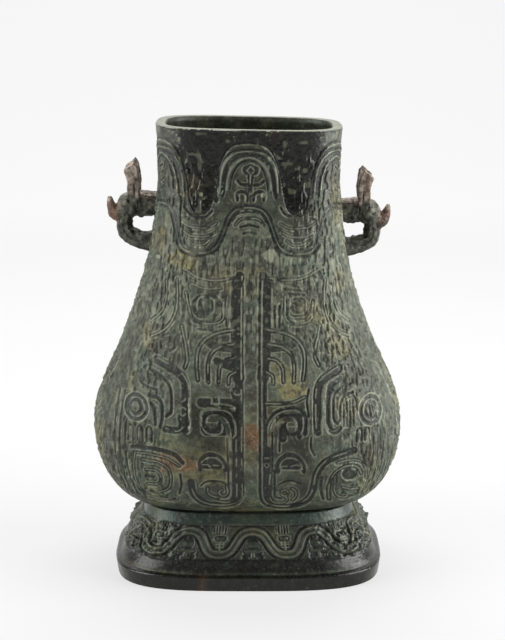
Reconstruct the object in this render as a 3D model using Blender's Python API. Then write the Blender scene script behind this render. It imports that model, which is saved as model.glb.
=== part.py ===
"""Bronze hu wine vessel: a rectangular, round-cornered jar on a flared foot, hollow and open at the mouth,
with a wave band in relief round the neck and the foot and two fixed animal-head loop handles.

Metres, +Z up. The origin is under the middle of the foot, the front faces -Y, the handles are at -X and +X.
"""
import math

import bmesh
import bpy
import numpy as np

# Heights, in metres from the table
HEIGHT = 0.500
FOOT_HEIGHT = 0.084
PLINTH_HEIGHT = 0.0165
COVE_HEIGHT = 0.0150
PLAIN_BAND_HEIGHT = 0.0160

# Widths from side to side and depths from front to back, over the bronze
PLINTH_WIDTH, PLINTH_DEPTH = 0.3006, 0.2360
WAIST_WIDTH, WAIST_DEPTH = 0.2260, 0.1780
BELLY_WIDTH, BELLY_DEPTH = 0.3430, 0.2670
NECK_WIDTH, NECK_DEPTH = 0.1975, 0.1545
MOUTH_WIDTH, MOUTH_DEPTH = 0.2040, 0.1600

# Steps and walls
PLINTH_UNDERCUT = 0.0022
PLINTH_LEDGE = 0.0055
COVE_INSET = 0.0112
COVE_HOLLOW = 0.0010
PLAIN_BAND_FLARE = 0.0055
BODY_WALL = 0.0040
FOOT_WALL = 0.0050
FLOOR_THICKNESS = 0.0050
LIP_THICKNESS = 0.0110
LIP_BLEND = 0.0300
EDGE_ROUND = 0.0012

# How square the section is: 2 is an ellipse, and a larger power has flatter sides and tighter corners
FOOT_SQUARENESS = 3.5
WAIST_SQUARENESS = 3.2
BELLY_SQUARENESS = 3.0
NECK_SQUARENESS = 3.5

# The body's profile, as shares of its height over the foot and of the step from neck to belly
BELLY_SHARE = 0.207
NECK_SHARE = 0.850
SHOULDER_CURVE = ((0.0, 1.0), (0.164, 0.858), (0.314, 0.612), (0.483, 0.375), (0.652, 0.190), (0.810, 0.065),
                  (1.0, 0.0))
FOOT_CURVE_POWER = 1.25

# The wave bands in relief
RELIEF = 0.0016
RELIEF_EDGE = 0.0022
NECK_WAVES = 6
NECK_WAVE_MARGIN = 0.0140
NECK_WAVE_UPPER_DIP = 0.779
NECK_WAVE_LOWER_CREST = 0.801
NECK_WAVE_LOWER_DIP = 0.682
NECK_WAVE_UPPER_POWER = 2.1
NECK_WAVE_LOWER_EASE = 0.55
FOOT_WAVES = 12
FOOT_RIBBON = 0.0080

# The handles: their reach from the neck to the snout, and their width from front to back
HANDLE_REACH = 0.0575
HANDLE_WIDTH = 0.0260
HANDLE_SHARE = 0.7785
RIGHT_HANDLE_DROP = 0.0040
HORN_THICKNESS = 0.0056
HORN_SPREAD = 0.0090
HORN_SPLAY = math.radians(14)
HEAD_WIDTH = 0.0291
LOOP_WIDTH = 0.0239
SNOUT_WIDTH = 0.0208

# The old casting isn't true: its mouth slopes down towards +X, and its shoulder and mouth are off centre
LEAN = math.tan(math.radians(1.2))
LEAN_START_SHARE = 0.33
SWAY = ((0.0, 0.0), (0.12, -0.0007), (0.50, -0.0014), (0.80, 0.0008), (1.0, 0.0011))

# Mesh counts round the outside and the inside, where the rows lie, and fine steps for measuring and welding
OUTER_COUNT = 96
INNER_COUNT = 40
CURVE_STEPS = 400
BELLY_ROWS = (0.02, 0.10, 0.24, 0.42, 0.66, 1.0)
SHOULDER_ROWS = 7
CAVITY_ROWS = 14
SLOPE_STEP = 0.0005
WELD_DISTANCE = 0.00005

# Handle routes in units of HANDLE_REACH: (outward from the neck, up from the arm, radius)
ARM_ROUTE = ((-0.30, 0.0, 0.22), (0.20, 0.0, 0.215), (0.52, 0.0, 0.20))
LOOP_ROUTE = ((0.57, -0.05, 0.14), (0.64, -0.32, 0.148), (0.625, -0.49, 0.152), (0.53, -0.61, 0.156),
              (0.38, -0.67, 0.160), (0.20, -0.71, 0.170), (-0.05, -0.78, 0.185))
SNOUT_ROUTE = ((0.58, -0.12, 0.20), (0.77, -0.165, 0.170), (0.868, -0.075, 0.108), (0.905, 0.035, 0.072),
               (0.925, 0.145, 0.040))
HEAD_CENTRE = (0.54, 0.0)
HEAD_RADII = (0.235, 0.235)
HORN_OUTLINE = ((0.336, 0.06), (0.330, 0.30), (0.322, 0.48), (0.345, 0.68), (0.375, 0.80), (0.437, 0.885),
                (0.530, 0.80), (0.626, 0.713), (0.585, 0.58), (0.560, 0.47), (0.570, 0.30), (0.562, 0.06))


def smooth_curve(stations, x):
    """A cubic curve through the stations that rises and falls only where they do."""
    xs = np.array([s[0] for s in stations], dtype=float)
    ys = np.array([s[1] for s in stations], dtype=float)
    step = np.diff(xs)
    slope = np.diff(ys) / step
    tangent = np.zeros(len(xs))
    tangent[0] = slope[0]
    tangent[-1] = slope[-1]
    for i in range(1, len(xs) - 1):
        if slope[i - 1] * slope[i] > 0:
            before = 2 * step[i] + step[i - 1]
            after = step[i] + 2 * step[i - 1]
            tangent[i] = (before + after) / (before / slope[i - 1] + after / slope[i])
    x = np.clip(x, xs[0], xs[-1])
    i = np.clip(np.searchsorted(xs, x, side="right") - 1, 0, len(step) - 1)
    t = (x - xs[i]) / step[i]
    return ((1 + 2 * t) * (1 - t) ** 2 * ys[i] + t * (1 - t) ** 2 * step[i] * tangent[i]
            + t ** 2 * (3 - 2 * t) * ys[i + 1] + t ** 2 * (t - 1) * step[i] * tangent[i + 1])


def smoothstep(low, high, x):
    t = np.clip((x - low) / (high - low), 0.0, 1.0)
    return t * t * (3 - 2 * t)


def body_height(share):
    """The height of a share of the body over the foot."""
    return FOOT_HEIGHT + share * (HEIGHT - FOOT_HEIGHT)


def body_half(z, waist, belly, neck, mouth):
    """Half the body's width or depth at a height over the foot."""
    belly_z = body_height(BELLY_SHARE)
    neck_z = body_height(NECK_SHARE)
    if z <= belly_z:
        under = (belly_z - z) / (belly_z - FOOT_HEIGHT)
        return (waist + (belly - waist) * math.sqrt(max(0.0, 1 - under ** 2))) / 2
    if z <= neck_z:
        share = smooth_curve(SHOULDER_CURVE, (z - belly_z) / (neck_z - belly_z))
        return (neck + (belly - neck) * share) / 2
    flare = min(1.0, (z - neck_z) / (HEIGHT - neck_z))
    return (neck + (mouth - neck) * flare ** 2) / 2


def body_section(z):
    """Half width, half depth and squareness of the body's outside at a height."""
    stations = ((FOOT_HEIGHT, WAIST_SQUARENESS), (body_height(BELLY_SHARE), BELLY_SQUARENESS),
                (body_height(NECK_SHARE), NECK_SQUARENESS))
    return (body_half(z, WAIST_WIDTH, BELLY_WIDTH, NECK_WIDTH, MOUTH_WIDTH),
            body_half(z, WAIST_DEPTH, BELLY_DEPTH, NECK_DEPTH, MOUTH_DEPTH),
            float(smooth_curve(stations, z)))


def foot_section(z):
    """Half width, half depth and squareness of the foot between the cove's top and the waist."""
    cove_top = PLINTH_HEIGHT + COVE_HEIGHT
    band_base = FOOT_HEIGHT - PLAIN_BAND_HEIGHT
    half = []
    for plinth, waist in ((PLINTH_WIDTH, WAIST_WIDTH), (PLINTH_DEPTH, WAIST_DEPTH)):
        bottom = plinth / 2 - COVE_INSET
        top = waist / 2 + PLAIN_BAND_FLARE
        t = min(1.0, max(0.0, (z - cove_top) / (band_base - cove_top)))
        half.append(bottom + (top - bottom) * (1 - (1 - t) ** FOOT_CURVE_POWER))
    return half[0], half[1], FOOT_SQUARENESS


def ring(half_width, half_depth, squareness, heights, count, rise=0.0):
    """Points round a superellipse from the middle of the front, evenly spaced along its outline."""
    fine = np.linspace(0.0, math.pi / 2, CURVE_STEPS)
    x = half_width * np.sin(fine) ** (2 / squareness)
    y = -half_depth * np.cos(fine) ** (2 / squareness)
    length = np.concatenate([[0.0], np.cumsum(np.hypot(np.diff(x), np.diff(y)))])
    steps = np.linspace(0.0, length[-1], count // 4 + 1)
    quarter = np.stack([np.interp(steps, length, x), np.interp(steps, length, y)], axis=1)
    half = np.concatenate([quarter, quarter[-2::-1] * (1, -1)])
    whole = np.concatenate([half, half[-2:0:-1] * (-1, 1)])
    grow = 1 + rise / np.maximum(np.hypot(whole[:, 0], whole[:, 1]), rise + 1e-6)
    whole = whole * grow[:, None]
    return np.column_stack([whole, np.broadcast_to(heights, len(whole))])


def phase(count, waves):
    """The angle along the wave at each point of a ring, zero at a crest."""
    return 2 * math.pi * waves * np.arange(count) / count


def wave_ring(heights, section, rise):
    """A ring whose points lie on the section at their own heights."""
    points = []
    for i, z in enumerate(heights):
        points.append(ring(*section(z), z, OUTER_COUNT, rise)[i])
    return np.array(points)


def neck_wave_edges():
    """Heights of the neck wave's upper and lower edge round the vessel: arches above, steep sides below."""
    swing = np.cos(phase(OUTER_COUNT, NECK_WAVES))
    steep = swing * np.sqrt((1 + NECK_WAVE_LOWER_EASE ** 2) / (swing ** 2 + NECK_WAVE_LOWER_EASE ** 2))
    upper_crest = HEIGHT - NECK_WAVE_MARGIN
    upper_dip = body_height(NECK_WAVE_UPPER_DIP)
    lower_crest = body_height(NECK_WAVE_LOWER_CREST)
    lower_dip = body_height(NECK_WAVE_LOWER_DIP)
    upper = upper_crest - (upper_crest - upper_dip) * ((1 - swing) / 2) ** NECK_WAVE_UPPER_POWER
    lower = lower_crest - (lower_crest - lower_dip) * (1 - steep) / 2
    return upper, lower


def foot_rings():
    """Plinth, cove, wave zone and plain band, from the table up to the waist."""
    cove_top = PLINTH_HEIGHT + COVE_HEIGHT
    band_base = FOOT_HEIGHT - PLAIN_BAND_HEIGHT
    width = PLINTH_WIDTH / 2
    depth = PLINTH_DEPTH / 2
    ledge = (width - PLINTH_LEDGE, depth - PLINTH_LEDGE)
    cove = foot_section(cove_top)
    middle = ((ledge[0] + cove[0]) / 2 - COVE_HOLLOW, (ledge[1] + cove[1]) / 2 - COVE_HOLLOW)
    rings = [
        ring(width - PLINTH_UNDERCUT, depth - PLINTH_UNDERCUT, FOOT_SQUARENESS, 0.0, OUTER_COUNT),
        ring(width, depth, FOOT_SQUARENESS, PLINTH_HEIGHT - EDGE_ROUND, OUTER_COUNT),
        ring(width - EDGE_ROUND, depth - EDGE_ROUND, FOOT_SQUARENESS, PLINTH_HEIGHT, OUTER_COUNT),
        ring(*ledge, FOOT_SQUARENESS, PLINTH_HEIGHT + EDGE_ROUND, OUTER_COUNT),
        ring(*middle, FOOT_SQUARENESS, (PLINTH_HEIGHT + cove_top) / 2, OUTER_COUNT),
        ring(*cove, cove_top, OUTER_COUNT),
    ]
    swing = (band_base - cove_top - FOOT_RIBBON) / 2 - RELIEF_EDGE
    middle_line = (band_base + cove_top) / 2 + swing * np.cos(phase(OUTER_COUNT, FOOT_WAVES))
    low = middle_line - FOOT_RIBBON / 2
    high = middle_line + FOOT_RIBBON / 2
    rings += [
        wave_ring(low - RELIEF_EDGE / 2, foot_section, 0.0),
        wave_ring(low + RELIEF_EDGE / 2, foot_section, RELIEF),
        wave_ring(high - RELIEF_EDGE / 2, foot_section, RELIEF),
        wave_ring(high + RELIEF_EDGE / 2, foot_section, 0.0),
        ring(*foot_section(band_base), band_base, OUTER_COUNT),
    ]
    width = WAIST_WIDTH / 2
    depth = WAIST_DEPTH / 2
    flare = PLAIN_BAND_FLARE / 3
    rings += [
        ring(width + flare, depth + flare, FOOT_SQUARENESS, FOOT_HEIGHT - RELIEF_EDGE, OUTER_COUNT),
        ring(width, depth, FOOT_SQUARENESS, FOOT_HEIGHT, OUTER_COUNT),
    ]
    return rings


def body_rings():
    """Belly, shoulder, neck with its wave band, and rim."""
    upper, lower = neck_wave_edges()
    rings = []
    for t in BELLY_ROWS:
        z = FOOT_HEIGHT + t * (body_height(BELLY_SHARE) - FOOT_HEIGHT)
        rings.append(ring(*body_section(z), z, OUTER_COUNT))
    belly_z = body_height(BELLY_SHARE)
    wave_base = lower.min() - 2 * RELIEF_EDGE
    for z in np.linspace(belly_z, wave_base, SHOULDER_ROWS + 1)[1:]:
        rings.append(ring(*body_section(z), z, OUTER_COUNT))
    rings += [
        wave_ring(lower - RELIEF_EDGE / 2, body_section, 0.0),
        wave_ring(lower + RELIEF_EDGE / 2, body_section, RELIEF),
        wave_ring((lower + upper) / 2, body_section, RELIEF),
        wave_ring(upper - RELIEF_EDGE / 2, body_section, RELIEF),
        wave_ring(upper + RELIEF_EDGE / 2, body_section, 0.0),
    ]
    width, depth, squareness = body_section(HEIGHT)
    rings += [
        ring(width, depth, squareness, HEIGHT - EDGE_ROUND, OUTER_COUNT),
        ring(width - EDGE_ROUND, depth - EDGE_ROUND, squareness, HEIGHT, OUTER_COUNT),
    ]
    return rings


def cavity_rings():
    """The space inside: a wall's thickness in from the outside, square to its slope, with a thicker lip."""
    floor_top = FOOT_HEIGHT + FLOOR_THICKNESS / 2
    rings = []
    for z in np.linspace(FOOT_HEIGHT + SLOPE_STEP, HEIGHT, CAVITY_ROWS):
        width, depth, squareness = body_section(z)
        wall = BODY_WALL + (LIP_THICKNESS - BODY_WALL) * smoothstep(HEIGHT - LIP_BLEND, HEIGHT, z)
        slope = (body_section(z + SLOPE_STEP)[0] - body_section(z - SLOPE_STEP)[0]) / (2 * SLOPE_STEP)
        slant = math.hypot(1.0, slope)
        inner_z = z + wall * slope / slant
        if inner_z > floor_top + EDGE_ROUND:
            rings.append(ring(width - wall / slant, depth - wall / slant, squareness, inner_z, INNER_COUNT))
    lowest = rings[0].copy()
    lowest[:, :2] *= 1 - BODY_WALL / WAIST_WIDTH
    lowest[:, 2] = floor_top
    above = rings[-1].copy()
    above[:, 2] = HEIGHT + LIP_BLEND
    return [lowest] + rings + [above]


def hollow_rings():
    """The space under the floor, inside the foot ring."""
    cove_top = PLINTH_HEIGHT + COVE_HEIGHT
    band_base = FOOT_HEIGHT - PLAIN_BAND_HEIGHT
    ceiling = FOOT_HEIGHT - FLOOR_THICKNESS / 2
    inset = PLINTH_LEDGE + FOOT_WALL
    mouth = (PLINTH_WIDTH / 2 - inset, PLINTH_DEPTH / 2 - inset)
    sections = [(*mouth, -PLINTH_HEIGHT), (*mouth, PLINTH_HEIGHT)]
    for z in np.linspace(cove_top, band_base, 3):
        width, depth, _ = foot_section(z)
        sections.append((width - FOOT_WALL, depth - FOOT_WALL, z))
    sections.append((WAIST_WIDTH / 2 - FOOT_WALL, WAIST_DEPTH / 2 - FOOT_WALL, ceiling))
    return [ring(width, depth, FOOT_SQUARENESS, z, INNER_COUNT) for width, depth, z in sections]


def lean(mesh):
    """Slopes the upper body down towards +X, the whole slant at the mouth, and sways it off centre."""
    start = body_height(LEAN_START_SHARE)
    for vertex in mesh.vertices:
        z = vertex.co.z
        vertex.co.z -= vertex.co.x * LEAN * float(smoothstep(start, HEIGHT, z))
        vertex.co.x += float(smooth_curve(SWAY, (z - FOOT_HEIGHT) / (HEIGHT - FOOT_HEIGHT)))


def add_object(name, mesh, collection):
    obj = bpy.data.objects.new(name, mesh)
    collection.objects.link(obj)
    return obj


def loft(name, rings, collection):
    """A closed skin over a stack of rings of one count."""
    count = len(rings[0])
    bm = bmesh.new()
    rows = [[bm.verts.new(point) for point in points] for points in rings]
    for low, high in zip(rows, rows[1:]):
        for i in range(count):
            j = (i + 1) % count
            bm.faces.new((low[i], low[j], high[j], high[i]))
    bm.faces.new(reversed(rows[0]))
    bm.faces.new(rows[-1])
    mesh = bpy.data.meshes.new(name)
    bm.to_mesh(mesh)
    bm.free()
    lean(mesh)
    return add_object(name, mesh, collection)


def hide_tool(obj):
    """Marks a shape that is only joined to or cut from the vessel."""
    obj.hide_render = True
    obj.display_type = "WIRE"


def mesh_from_curve(curve_object, collection, side, base):
    """Turns a curve that was drawn in reach units into a mesh on one side's handle."""
    bpy.context.view_layer.update()
    depsgraph = bpy.context.evaluated_depsgraph_get()
    mesh = bpy.data.meshes.new_from_object(curve_object.evaluated_get(depsgraph))
    mesh.transform(curve_object.matrix_world)
    name = curve_object.name
    curve = curve_object.data
    bpy.data.objects.remove(curve_object)
    bpy.data.curves.remove(curve)
    return finish_handle_mesh(name, mesh, collection, side, base)


def finish_handle_mesh(name, mesh, collection, side, base):
    """Places a handle mesh on its side of the neck, mirrored where needed, and lets it lean with the neck."""
    bm = bmesh.new()
    bm.from_mesh(mesh)
    bmesh.ops.remove_doubles(bm, verts=bm.verts, dist=WELD_DISTANCE)
    for vert in bm.verts:
        vert.co.x = side * (base[0] + vert.co.x)
        vert.co.z += base[1]
    if side < 0:
        bmesh.ops.reverse_faces(bm, faces=bm.faces)
    bm.to_mesh(mesh)
    bm.free()
    lean(mesh)
    obj = add_object(name, mesh, collection)
    hide_tool(obj)
    return obj


def spline_points(route, count):
    """Points on a smooth curve through a route."""
    stops = np.linspace(0.0, 1.0, len(route))
    places = np.linspace(0.0, 1.0, count)
    columns = []
    for values in zip(*route):
        columns.append(smooth_curve(list(zip(stops, values)), places))
    return np.stack(columns, axis=1)


def tube(name, route, count, sides, width, collection, side, base):
    """A tapered round bar along a route, flattened or widened from front to back."""
    curve = bpy.data.curves.new(name, "CURVE")
    curve.dimensions = "3D"
    curve.bevel_depth = HANDLE_REACH
    curve.bevel_resolution = (sides - 4) // 2
    curve.use_fill_caps = True
    spline = curve.splines.new("POLY")
    points = spline_points(route, count)
    spline.points.add(len(points) - 1)
    for point, (out, up, radius) in zip(spline.points, points):
        point.co = (out * HANDLE_REACH, 0.0, up * HANDLE_REACH, 1.0)
        point.radius = radius
    obj = add_object(name, curve, collection)
    widest = max(row[2] for row in route) * HANDLE_REACH
    obj.scale.y = width / (2 * widest)
    return mesh_from_curve(obj, collection, side, base)


def head(name, collection, side, base):
    """The animal's skull, a rounded block over the end of the arm."""
    mesh = bpy.data.meshes.new(name)
    bm = bmesh.new()
    bmesh.ops.create_uvsphere(bm, u_segments=14, v_segments=8, radius=1.0)
    for vert in bm.verts:
        vert.co.x = (HEAD_CENTRE[0] + vert.co.x * HEAD_RADII[0]) * HANDLE_REACH
        vert.co.y *= HEAD_WIDTH / 2
        vert.co.z = (HEAD_CENTRE[1] + vert.co.z * HEAD_RADII[1]) * HANDLE_REACH
    bm.to_mesh(mesh)
    bm.free()
    return finish_handle_mesh(name, mesh, collection, side, base)


def horn(name, front, collection, side, base):
    """One of the two flat notched horns, splayed out to the front or the back."""
    curve = bpy.data.curves.new(name, "CURVE")
    curve.dimensions = "2D"
    curve.fill_mode = "BOTH"
    curve.extrude = HORN_THICKNESS / 2
    spline = curve.splines.new("POLY")
    spline.points.add(len(HORN_OUTLINE) - 1)
    for point, (out, up) in zip(spline.points, HORN_OUTLINE):
        point.co = (out * HANDLE_REACH, up * HANDLE_REACH, 0.0, 1.0)
    spline.use_cyclic_u = True
    obj = add_object(name, curve, collection)
    obj.rotation_euler.x = math.pi / 2 + front * HORN_SPLAY
    obj.location.y = -front * HORN_SPREAD
    return mesh_from_curve(obj, collection, side, base)


def handle_pieces(word, side, drop, collection):
    """Arm, head, upturned snout, loop and a pair of horns on one side."""
    arm_z = body_height(HANDLE_SHARE)
    base = (body_section(arm_z)[0], arm_z - drop)
    place = (collection, side, base)
    return [
        tube(word + "_arm", ARM_ROUTE, 4, 12, HANDLE_WIDTH, *place),
        tube(word + "_loop", LOOP_ROUTE, 13, 10, LOOP_WIDTH, *place),
        head(word + "_head", *place),
        tube(word + "_snout", SNOUT_ROUTE, 8, 8, SNOUT_WIDTH, *place),
        horn(word + "_front_horn", 1, *place),
        horn(word + "_back_horn", -1, *place),
    ]


def boolean(obj, tool, operation):
    """Joins or cuts. The exact solver leaves open seams between head and snout, and this one doesn't."""
    modifier = obj.modifiers.new(operation.title() + " " + tool.name, "BOOLEAN")
    modifier.operation = operation
    modifier.object = tool
    modifier.solver = "MANIFOLD"


def bronze():
    """Dark brown-green patinated bronze."""
    material = bpy.data.materials.new("patinated_bronze")
    material.use_nodes = True
    shader = material.node_tree.nodes["Principled BSDF"]
    shader.inputs["Base Color"].default_value = (0.075, 0.085, 0.065, 1.0)
    shader.inputs["Metallic"].default_value = 0.35
    shader.inputs["Roughness"].default_value = 0.55
    return material


def main():
    for obj in list(bpy.data.objects):
        bpy.data.objects.remove(obj)
    parts = bpy.data.collections.new("hu_wine_vessel")
    tools = bpy.data.collections.new("hu_wine_vessel_tools")
    bpy.context.scene.collection.children.link(parts)
    bpy.context.scene.collection.children.link(tools)

    vessel = loft("hu_vessel", foot_rings() + body_rings(), parts)
    vessel.data.materials.append(bronze())
    for word, side, drop in (("left", -1, 0.0), ("right", 1, RIGHT_HANDLE_DROP)):
        for piece in handle_pieces(word, side, drop, tools):
            boolean(vessel, piece, "UNION")
    for name, rings in (("cavity", cavity_rings()), ("foot_hollow", hollow_rings())):
        cutter = loft(name, rings, tools)
        hide_tool(cutter)
        boolean(vessel, cutter, "DIFFERENCE")
    vessel.data.shade_smooth()
    vessel.data.set_sharp_from_angle(angle=math.radians(35))


main()
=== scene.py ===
"""Looks of a bronze hu wine vessel: cast relief, patina, stage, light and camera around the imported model.

Metres, +Z up, front towards -Y, as in the model. Relief is drawn with strokes on the unrolled wall, in
millimetres: across from the middle of a side, and up from the table. The body's sizes repeat the model's.
"""
import math

import bmesh
import bpy
import numpy as np
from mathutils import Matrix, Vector


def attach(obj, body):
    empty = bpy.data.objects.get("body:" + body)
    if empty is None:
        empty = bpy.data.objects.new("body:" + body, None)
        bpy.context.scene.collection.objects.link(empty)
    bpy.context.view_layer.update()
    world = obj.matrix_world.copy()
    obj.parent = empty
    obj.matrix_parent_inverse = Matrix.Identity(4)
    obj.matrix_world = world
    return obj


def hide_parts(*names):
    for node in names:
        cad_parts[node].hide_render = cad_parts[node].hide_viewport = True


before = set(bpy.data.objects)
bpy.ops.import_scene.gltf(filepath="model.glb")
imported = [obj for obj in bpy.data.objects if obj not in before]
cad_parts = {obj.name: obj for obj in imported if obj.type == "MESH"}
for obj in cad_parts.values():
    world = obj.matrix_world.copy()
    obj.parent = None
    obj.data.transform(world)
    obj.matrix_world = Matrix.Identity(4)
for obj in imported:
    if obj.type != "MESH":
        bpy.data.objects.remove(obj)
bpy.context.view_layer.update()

MM = 0.001
NODE = "hu_vessel"

# The body, as in the model
HEIGHT, FOOT_HEIGHT = 0.500, 0.084
PLINTH_HEIGHT, COVE_HEIGHT, PLAIN_BAND_HEIGHT = 0.0165, 0.0150, 0.0160
PLINTH = np.array((0.3006, 0.2360)) / 2
WAIST = np.array((0.2260, 0.1780)) / 2
BELLY = np.array((0.3430, 0.2670)) / 2
NECK = np.array((0.1975, 0.1545)) / 2
MOUTH = np.array((0.2040, 0.1600)) / 2
PLINTH_UNDERCUT, PLINTH_LEDGE, COVE_INSET, COVE_HOLLOW = 0.0022, 0.0055, 0.0112, 0.0010
PLAIN_BAND_FLARE, FOOT_CURVE_POWER = 0.0055, 1.25
BODY_WALL, FOOT_WALL, LIP_THICKNESS, LIP_BLEND, EDGE_ROUND = 0.0040, 0.0050, 0.0110, 0.0300, 0.0012
FLOOR_THICKNESS = 0.0050
FOOT_SQUARENESS, WAIST_SQUARENESS, BELLY_SQUARENESS, NECK_SQUARENESS = 3.5, 3.2, 3.0, 3.5
COVE_TOP = PLINTH_HEIGHT + COVE_HEIGHT
BAND_BASE = FOOT_HEIGHT - PLAIN_BAND_HEIGHT
BODY_HEIGHT = HEIGHT - FOOT_HEIGHT
BELLY_Z = FOOT_HEIGHT + 0.207 * BODY_HEIGHT
NECK_Z = FOOT_HEIGHT + 0.850 * BODY_HEIGHT
SHOULDER_CURVE = ((0.0, 1.0), (0.035, 0.9942), (0.08, 0.967), (0.164, 0.862), (0.314, 0.612), (0.483, 0.375),
                  (0.652, 0.190), (0.810, 0.065), (1.0, 0.0))
LEAN = math.tan(math.radians(1.2))
LEAN_START = FOOT_HEIGHT + 0.33 * BODY_HEIGHT
SWAY = ((0.0, 0.0), (0.12, -0.0007), (0.50, -0.0014), (0.80, 0.0008), (1.0, 0.0011))

# The two wave bands, as in the model
RELIEF_EDGE = 0.0022
NECK_WAVES, FOOT_WAVES = 6, 12
LOWER_CREST, LOWER_DIP = FOOT_HEIGHT + 0.801 * BODY_HEIGHT, FOOT_HEIGHT + 0.682 * BODY_HEIGHT
LOWER_EASE = 0.55
FOOT_RIBBON, FOOT_EASE = 0.0080, 0.80

# Two things truer to the picture than in the model: the neck wave's upper edge, as shares of half a wave
# with heights, and how much longer and further along the foot's front waves are, in waves
UPPER_EDGE = ((0.0, 0.4860), (0.25, 0.4840), (0.43, 0.4775), (0.57, 0.4640), (0.65, 0.4500), (0.70, 0.4360),
              (0.745, 0.4220), (0.81, 0.4135), (0.90, 0.4095), (1.0, 0.4085))
FRONT_STRETCH, FRONT_SHIFT = 0.24, 0.07

# The middle of the body's upright band in millimetres, and how far a wall turns before it counts as a side
BAND_MIDDLE, SIDE_SLANT = 4.5, 2.6

# The handles, as in the model, with routes in units of their reach: out from the neck, up from the arm,
# and radius
HANDLE_REACH, HANDLE_WIDTH, RIGHT_HANDLE_DROP = 0.0575, 0.0260, 0.0040
ARM_Z = FOOT_HEIGHT + 0.7785 * BODY_HEIGHT
HORN_THICKNESS, HORN_SPREAD, HORN_SPLAY = 0.0056, 0.0090, math.radians(14)
HEAD_WIDTH, LOOP_WIDTH, SNOUT_WIDTH = 0.0291, 0.0239, 0.0208
ARM_ROUTE = ((-0.30, 0.012, 0.228), (0.10, 0.02, 0.235), (0.34, 0.035, 0.25), (0.52, 0.0, 0.20))
LOOP_ROUTE = ((0.57, -0.05, 0.14), (0.64, -0.32, 0.148), (0.625, -0.49, 0.152), (0.53, -0.61, 0.156),
              (0.38, -0.665, 0.168), (0.20, -0.70, 0.185), (-0.05, -0.765, 0.205))
SNOUT_ROUTE = ((0.58, -0.12, 0.20), (0.77, -0.165, 0.170), (0.868, -0.075, 0.108), (0.905, 0.035, 0.072),
               (0.925, 0.145, 0.040))
HEAD_CENTRE, HEAD_RADIUS = (0.54, 0.0), 0.235
HORN_OUTLINE = ((0.336, 0.06), (0.330, 0.30), (0.322, 0.48), (0.345, 0.68), (0.375, 0.80), (0.437, 0.885),
                (0.530, 0.80), (0.626, 0.713), (0.585, 0.58), (0.560, 0.47), (0.570, 0.30), (0.562, 0.06))
HOLE_CENTRE = np.array((0.27, 0.0, -0.27))
EYE_CENTRE, EYE_SIDE = (0.60, 0.05), 0.225

# How far the ornament stands out or sinks in, in millimetres, and how much of a cut a thin line in it fills
NECK_RIBBON_HEIGHT, FOOT_RIBBON_HEIGHT = 1.25, 1.35
GROOVE_DEPTH, CRUST_DEPTH, LINE_FILL = 1.45, 1.4, 0.85

# A small pit high on the neck's right corner, across and up in millimetres
NECK_PIT = (88.6, 485.3)

# Heights where the wall's pieces meet
SEAMS = (FOOT_HEIGHT, 0.134, 0.222, 0.318, 0.404, HEIGHT)

# Mesh density: columns in each front and back quarter, the step between rows, points sampled on a quarter,
# steps between two points of a stroke, and the grain of a handle's mesh
FRONT_COLUMNS, BACK_COLUMNS = 262, 112
ROW_STEP = 0.00104
QUARTER_STEPS = 400
STROKE_STEPS = 5
HANDLE_VOXEL = 0.0009

# Camera at the photograph's viewing angle
CAMERA_PLACE = (0.0048, -2.0, 0.7028)
CAMERA_TILT = math.radians(11.979)
CAMERA_LENS, CAMERA_SENSOR = 102.4, 36.0

# How brightly the backdrop shines by itself, on its floor and up its wall
FLOOR_GLOW, WALL_GLOW = 0.60, 0.78


def smooth_curve(stations, x):
    """A cubic curve through the stations that rises and falls only where they do."""
    xs, ys = (np.array(values, dtype=float) for values in zip(*stations))
    step = np.diff(xs)
    slope = np.diff(ys) / step
    tangent = np.zeros(len(xs))
    tangent[0], tangent[-1] = slope[0], slope[-1]
    for i in range(1, len(xs) - 1):
        if slope[i - 1] * slope[i] > 0:
            before = 2 * step[i] + step[i - 1]
            after = step[i] + 2 * step[i - 1]
            tangent[i] = (before + after) / (before / slope[i - 1] + after / slope[i])
    x = np.clip(x, xs[0], xs[-1])
    i = np.clip(np.searchsorted(xs, x, side="right") - 1, 0, len(step) - 1)
    t = (x - xs[i]) / step[i]
    return ((1 + 2 * t) * (1 - t) ** 2 * ys[i] + t * (1 - t) ** 2 * step[i] * tangent[i]
            + t ** 2 * (3 - 2 * t) * ys[i + 1] + t ** 2 * (t - 1) * step[i] * tangent[i + 1])


def smoothstep(low, high, x):
    t = np.clip((x - low) / (high - low), 0.0, 1.0)
    return t * t * (3 - 2 * t)


def bump(centre, reach, x):
    """One at the centre, falling smoothly to nothing at the reach."""
    return 1 - smoothstep(0.0, reach, np.abs(x - centre))


def window(low, high, soft, x):
    """One between two values, with soft edges."""
    return smoothstep(low - soft, low + soft, x) * (1 - smoothstep(high - soft, high + soft, x))


def most(*layers):
    return np.maximum.reduce(layers)


LATTICE = np.random.default_rng(7).random((48, 48, 48))


def noise(points, scale, offset=0.0):
    """Smooth random values from 0 to 1, with lumps of the scale's size."""
    q = points / scale + offset + 1000.0
    base = np.floor(q).astype(int)
    t = q - base
    t = t * t * (3 - 2 * t)
    total = np.zeros(len(points))
    for dx in (0, 1):
        for dy in (0, 1):
            for dz in (0, 1):
                weight = np.abs(1 - dx - t[:, 0]) * np.abs(1 - dy - t[:, 1]) * np.abs(1 - dz - t[:, 2])
                cell = (base + (dx, dy, dz)) % len(LATTICE)
                total += weight * LATTICE[cell[:, 0], cell[:, 1], cell[:, 2]]
    return total


def ripple(points, *waves):
    """Bumps and dents round zero: each wave has the size of its lumps, its seed and its full height."""
    return sum((noise(points, size, seed) - 0.5) * height for size, seed, height in waves)


def blotches(points, size, seed, low, high):
    """One inside random blotches and nothing between them, with soft edges."""
    return smoothstep(low, high, noise(points, size, seed))


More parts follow.
